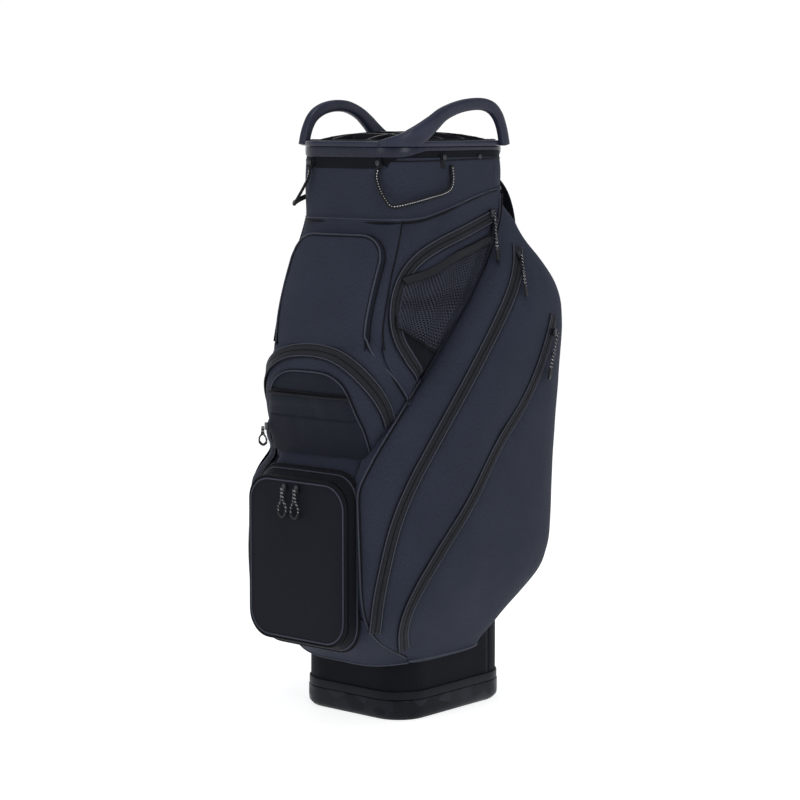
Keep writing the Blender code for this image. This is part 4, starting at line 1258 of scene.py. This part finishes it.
# ---- moulded parts that keep the frame's own form -----------------------------------------
for hard, mat, width in (("base_foot", FOOT, 0.0012), ("base_trim_band", INK, 0.0004),
                         ("collar_ring", SLATE, 0.0008), ("cuff_band", BLACK_CLOTH, 0.0),
                         ("divider_grid", INK, 0.0006)):
    cad_copy(hard, mat, width)


def rope_points(node):
    """Where a pull hangs: the middle of its topmost and of its lowest vertices."""
    v = np.array([list(p.co) for p in nodes[node].data.vertices])
    z = v[:, 2]
    return v[z > z.max() - 0.002].mean(0), v[z < z.min() + 0.002].mean(0)


def rope_pull(node, tag):
    """A rope pull: two legs that part below the slider and meet round a moulded loop."""
    high, low = rope_points(node)
    drop = low - high
    length = np.linalg.norm(drop)
    down = drop / length
    away = np.array([high[0], high[1], 0.0])
    if "ball" in tag or "middle" in tag:
        away = np.array([0.0, -1.0, 0.0])
    away = unit(away - down * (away @ down))
    side = np.cross(down, away)
    pts = []
    for u, w in ((0.02, 0.0008), (0.16, 0.0012), (0.32, 0.0016), (0.46, 0.0026), (0.60, 0.0062),
                 (0.76, 0.0074), (0.90, 0.0056), (0.985, 0.0)):
        pts.append((u * length, w))
    pts += [(u, -w) for u, w in pts[-2::-1]]
    path = smooth_path([high + down * u + side * w + away * 0.0006 for u, w in pts], 90)
    normals = np.zeros_like(path) + away
    rope = sweep("pull_rope_" + tag, path, normals, round_profile(0.00135, 8), ROPE, node)
    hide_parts(node)
    tip = slice(34, 57)
    sweep("pull_sleeve_" + tag, path[tip], normals[tip], round_profile(0.0020, 10), JET, node)
    knot = np.array([high + down * (length * (0.44 + 0.02 * k)) for k in range(4)])
    sweep("pull_collar_" + tag, knot, np.zeros_like(knot) + away, round_profile(0.0032, 10), JET,
          node)


for node in list(nodes):
    if node.startswith("screw_"):
        cad_copy(node, GUNMETAL)
    if node.startswith("zip_slider_"):
        cad_copy(node, GUNMETAL, 0.0002, body=node)
    if node.startswith("zip_pull_"):
        rope_pull(node, node[len("zip_pull_"):])


# ---- grab loops ---------------------------------------------------------------------------
# Centre line of the right loop, from its front tab to its side tab.
LOOP = [(0.0650, -0.1300, 0.7960), (0.0650, -0.1325, 0.7850), (0.0730, -0.1350, 0.7690),
        (0.0840, -0.1355, 0.7540), (0.0920, -0.1340, 0.7455), (0.1000, -0.1275, 0.7450),
        (0.1100, -0.1040, 0.7500), (0.1150, -0.0750, 0.7560), (0.1160, -0.0450, 0.7615),
        (0.1150, -0.0290, 0.7690), (0.1130, -0.0230, 0.7830), (0.1100, -0.0220, 0.8010)]


def grab_loop(side, tag):
    path = smooth_path(LOOP, 70)
    p, n = handed(side, path, unit(path * (0.9, 0.5, 0)))
    body = "grab_loop_" + tag
    strap = sweep("grab_strap_" + tag, p - n * 0.0010, n, strip_profile(0.0068, 0.0026, 0.0010),
                  WEB, body)
    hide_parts(body)
    p, n = even(p, n, 0.002)
    stitches("grab_strap_dashes_" + tag, p + n * 0.0022, n, 0.0040, 0.0030, 0.00085, GLINT, body)


both_sides(grab_loop)
for node in list(nodes):
    if node.startswith("loop_end_"):
        cad_copy(node, WEB, 0.0003)
for soft, mat in (("divider_sheet_left", BLACK_CLOTH), ("divider_sheet_right", BLACK_CLOTH),
                  ("strap_anchor_top", WEB), ("strap_anchor_bottom", WEB)):
    cad_copy(soft, mat, 0.0006)


# ---- pad, strap and lifting handle on the back --------------------------------------------
# Centre line as x, y, z, then half width and half thickness.
STRAP = [(0.0360, 0.1370, 0.7790, 0.0180, 0.0020), (0.0400, 0.1500, 0.7750, 0.0180, 0.0022),
         (0.0440, 0.1690, 0.7520, 0.0190, 0.0026), (0.0460, 0.1800, 0.7150, 0.0200, 0.0034),
         (0.0440, 0.1800, 0.6800, 0.0210, 0.0045), (0.0400, 0.1760, 0.6450, 0.0230, 0.0055),
         (0.0370, 0.1700, 0.6000, 0.0270, 0.0060), (0.0360, 0.1640, 0.5200, 0.0280, 0.0060),
         (0.0360, 0.1600, 0.4500, 0.0280, 0.0060), (0.0360, 0.1550, 0.3950, 0.0240, 0.0045),
         (0.0360, 0.1470, 0.3550, 0.0190, 0.0026), (0.0360, 0.1385, 0.3320, 0.0180, 0.0020)]
LIFT = [(-0.0360, 0.1330, 0.4370, 0.0130, 0.0018), (-0.0360, 0.1345, 0.4560, 0.0130, 0.0018),
        (-0.0360, 0.1450, 0.4740, 0.0130, 0.0018), (-0.0360, 0.1530, 0.4950, 0.0125, 0.0020),
        (-0.0360, 0.1550, 0.5150, 0.0120, 0.0022), (-0.0360, 0.1530, 0.5350, 0.0125, 0.0020),
        (-0.0360, 0.1450, 0.5560, 0.0130, 0.0018), (-0.0360, 0.1345, 0.5740, 0.0130, 0.0018),
        (-0.0360, 0.1330, 0.5930, 0.0130, 0.0018)]
PAD = [(0.0, 0.1272, 0.7165, 0.0640, 0.0034), (0.0, 0.1274, 0.7100, 0.0680, 0.0042),
       (0.0, 0.1274, 0.6000, 0.0685, 0.0044), (0.0, 0.1274, 0.3000, 0.0685, 0.0044),
       (0.0, 0.1274, 0.0860, 0.0680, 0.0042), (0.0, 0.1272, 0.0780, 0.0640, 0.0034)]


def soft_band(name, line, mat, step=1.0, quilt=0.0):
    """A closed band with sewn edges and, where quilted, seams across it at each step."""
    line = smooth_path(line, 400)
    c, _ = even(line[:, :3], line[:, :3], 0.003)
    share = np.linspace(0, 1, len(c))
    at = along(line[:, :3])
    w, h = (np.interp(share * at[-1], at, line[:, k]) for k in (3, 4))
    t = unit(np.gradient(c, axis=0))
    side = unit(np.cross(t, (0, 1, 0)))
    up = np.cross(side, t)
    d = along(c)
    a = np.linspace(0, 2 * pi, 65)[:-1]
    u = np.sign(np.cos(a)) * np.abs(np.cos(a)) ** 0.32
    v = np.sign(np.sin(a)) * np.abs(np.sin(a)) ** 0.62
    sewn = 1 - 0.38 * np.exp(-((np.abs(u) - 0.87) / 0.05) ** 2)
    near = (d / step - np.round(d / step)) * step
    pinch = quilt * np.exp(-(near / 0.0035) ** 2)
    thick = h[:, None] * (v * sewn)[None, :] * (1 - pinch[:, None] * (np.abs(u) < 0.8)[None, :])
    rings = (c[:, None] + side[:, None] * (w[:, None] * u[None, :])[..., None]
             + up[:, None] * thick[..., None])
    n, m = rings.shape[:2]
    uvs = np.stack([np.tile(along(rings[n // 2]), n), np.repeat(d, m)], 1)
    obj = new_piece(name, rings.reshape(-1, 3), [face[::-1] for face in capped(n, m)], mat, uvs)
    for sign, tag in ((1, "a"), (-1, "b")):
        p = c + side * (w * 0.87 * sign)[:, None] + up * (h * 0.66)[:, None]
        stitches("%s_stitch_%s" % (name, tag), p[3:-3], up[3:-3], 0.0042, 0.0028, 0.00035)
    return obj


strap = soft_band("shoulder_pad", STRAP, BLACK_CLOTH, 0.052, 0.30)
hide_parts("shoulder_strap")
pad = soft_band("spine_pad", PAD, BLACK_CLOTH, 0.064, 0.45)
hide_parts("spine_panel")
lift = soft_band("lifting_handle", LIFT, WEB)
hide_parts("spine_handle")
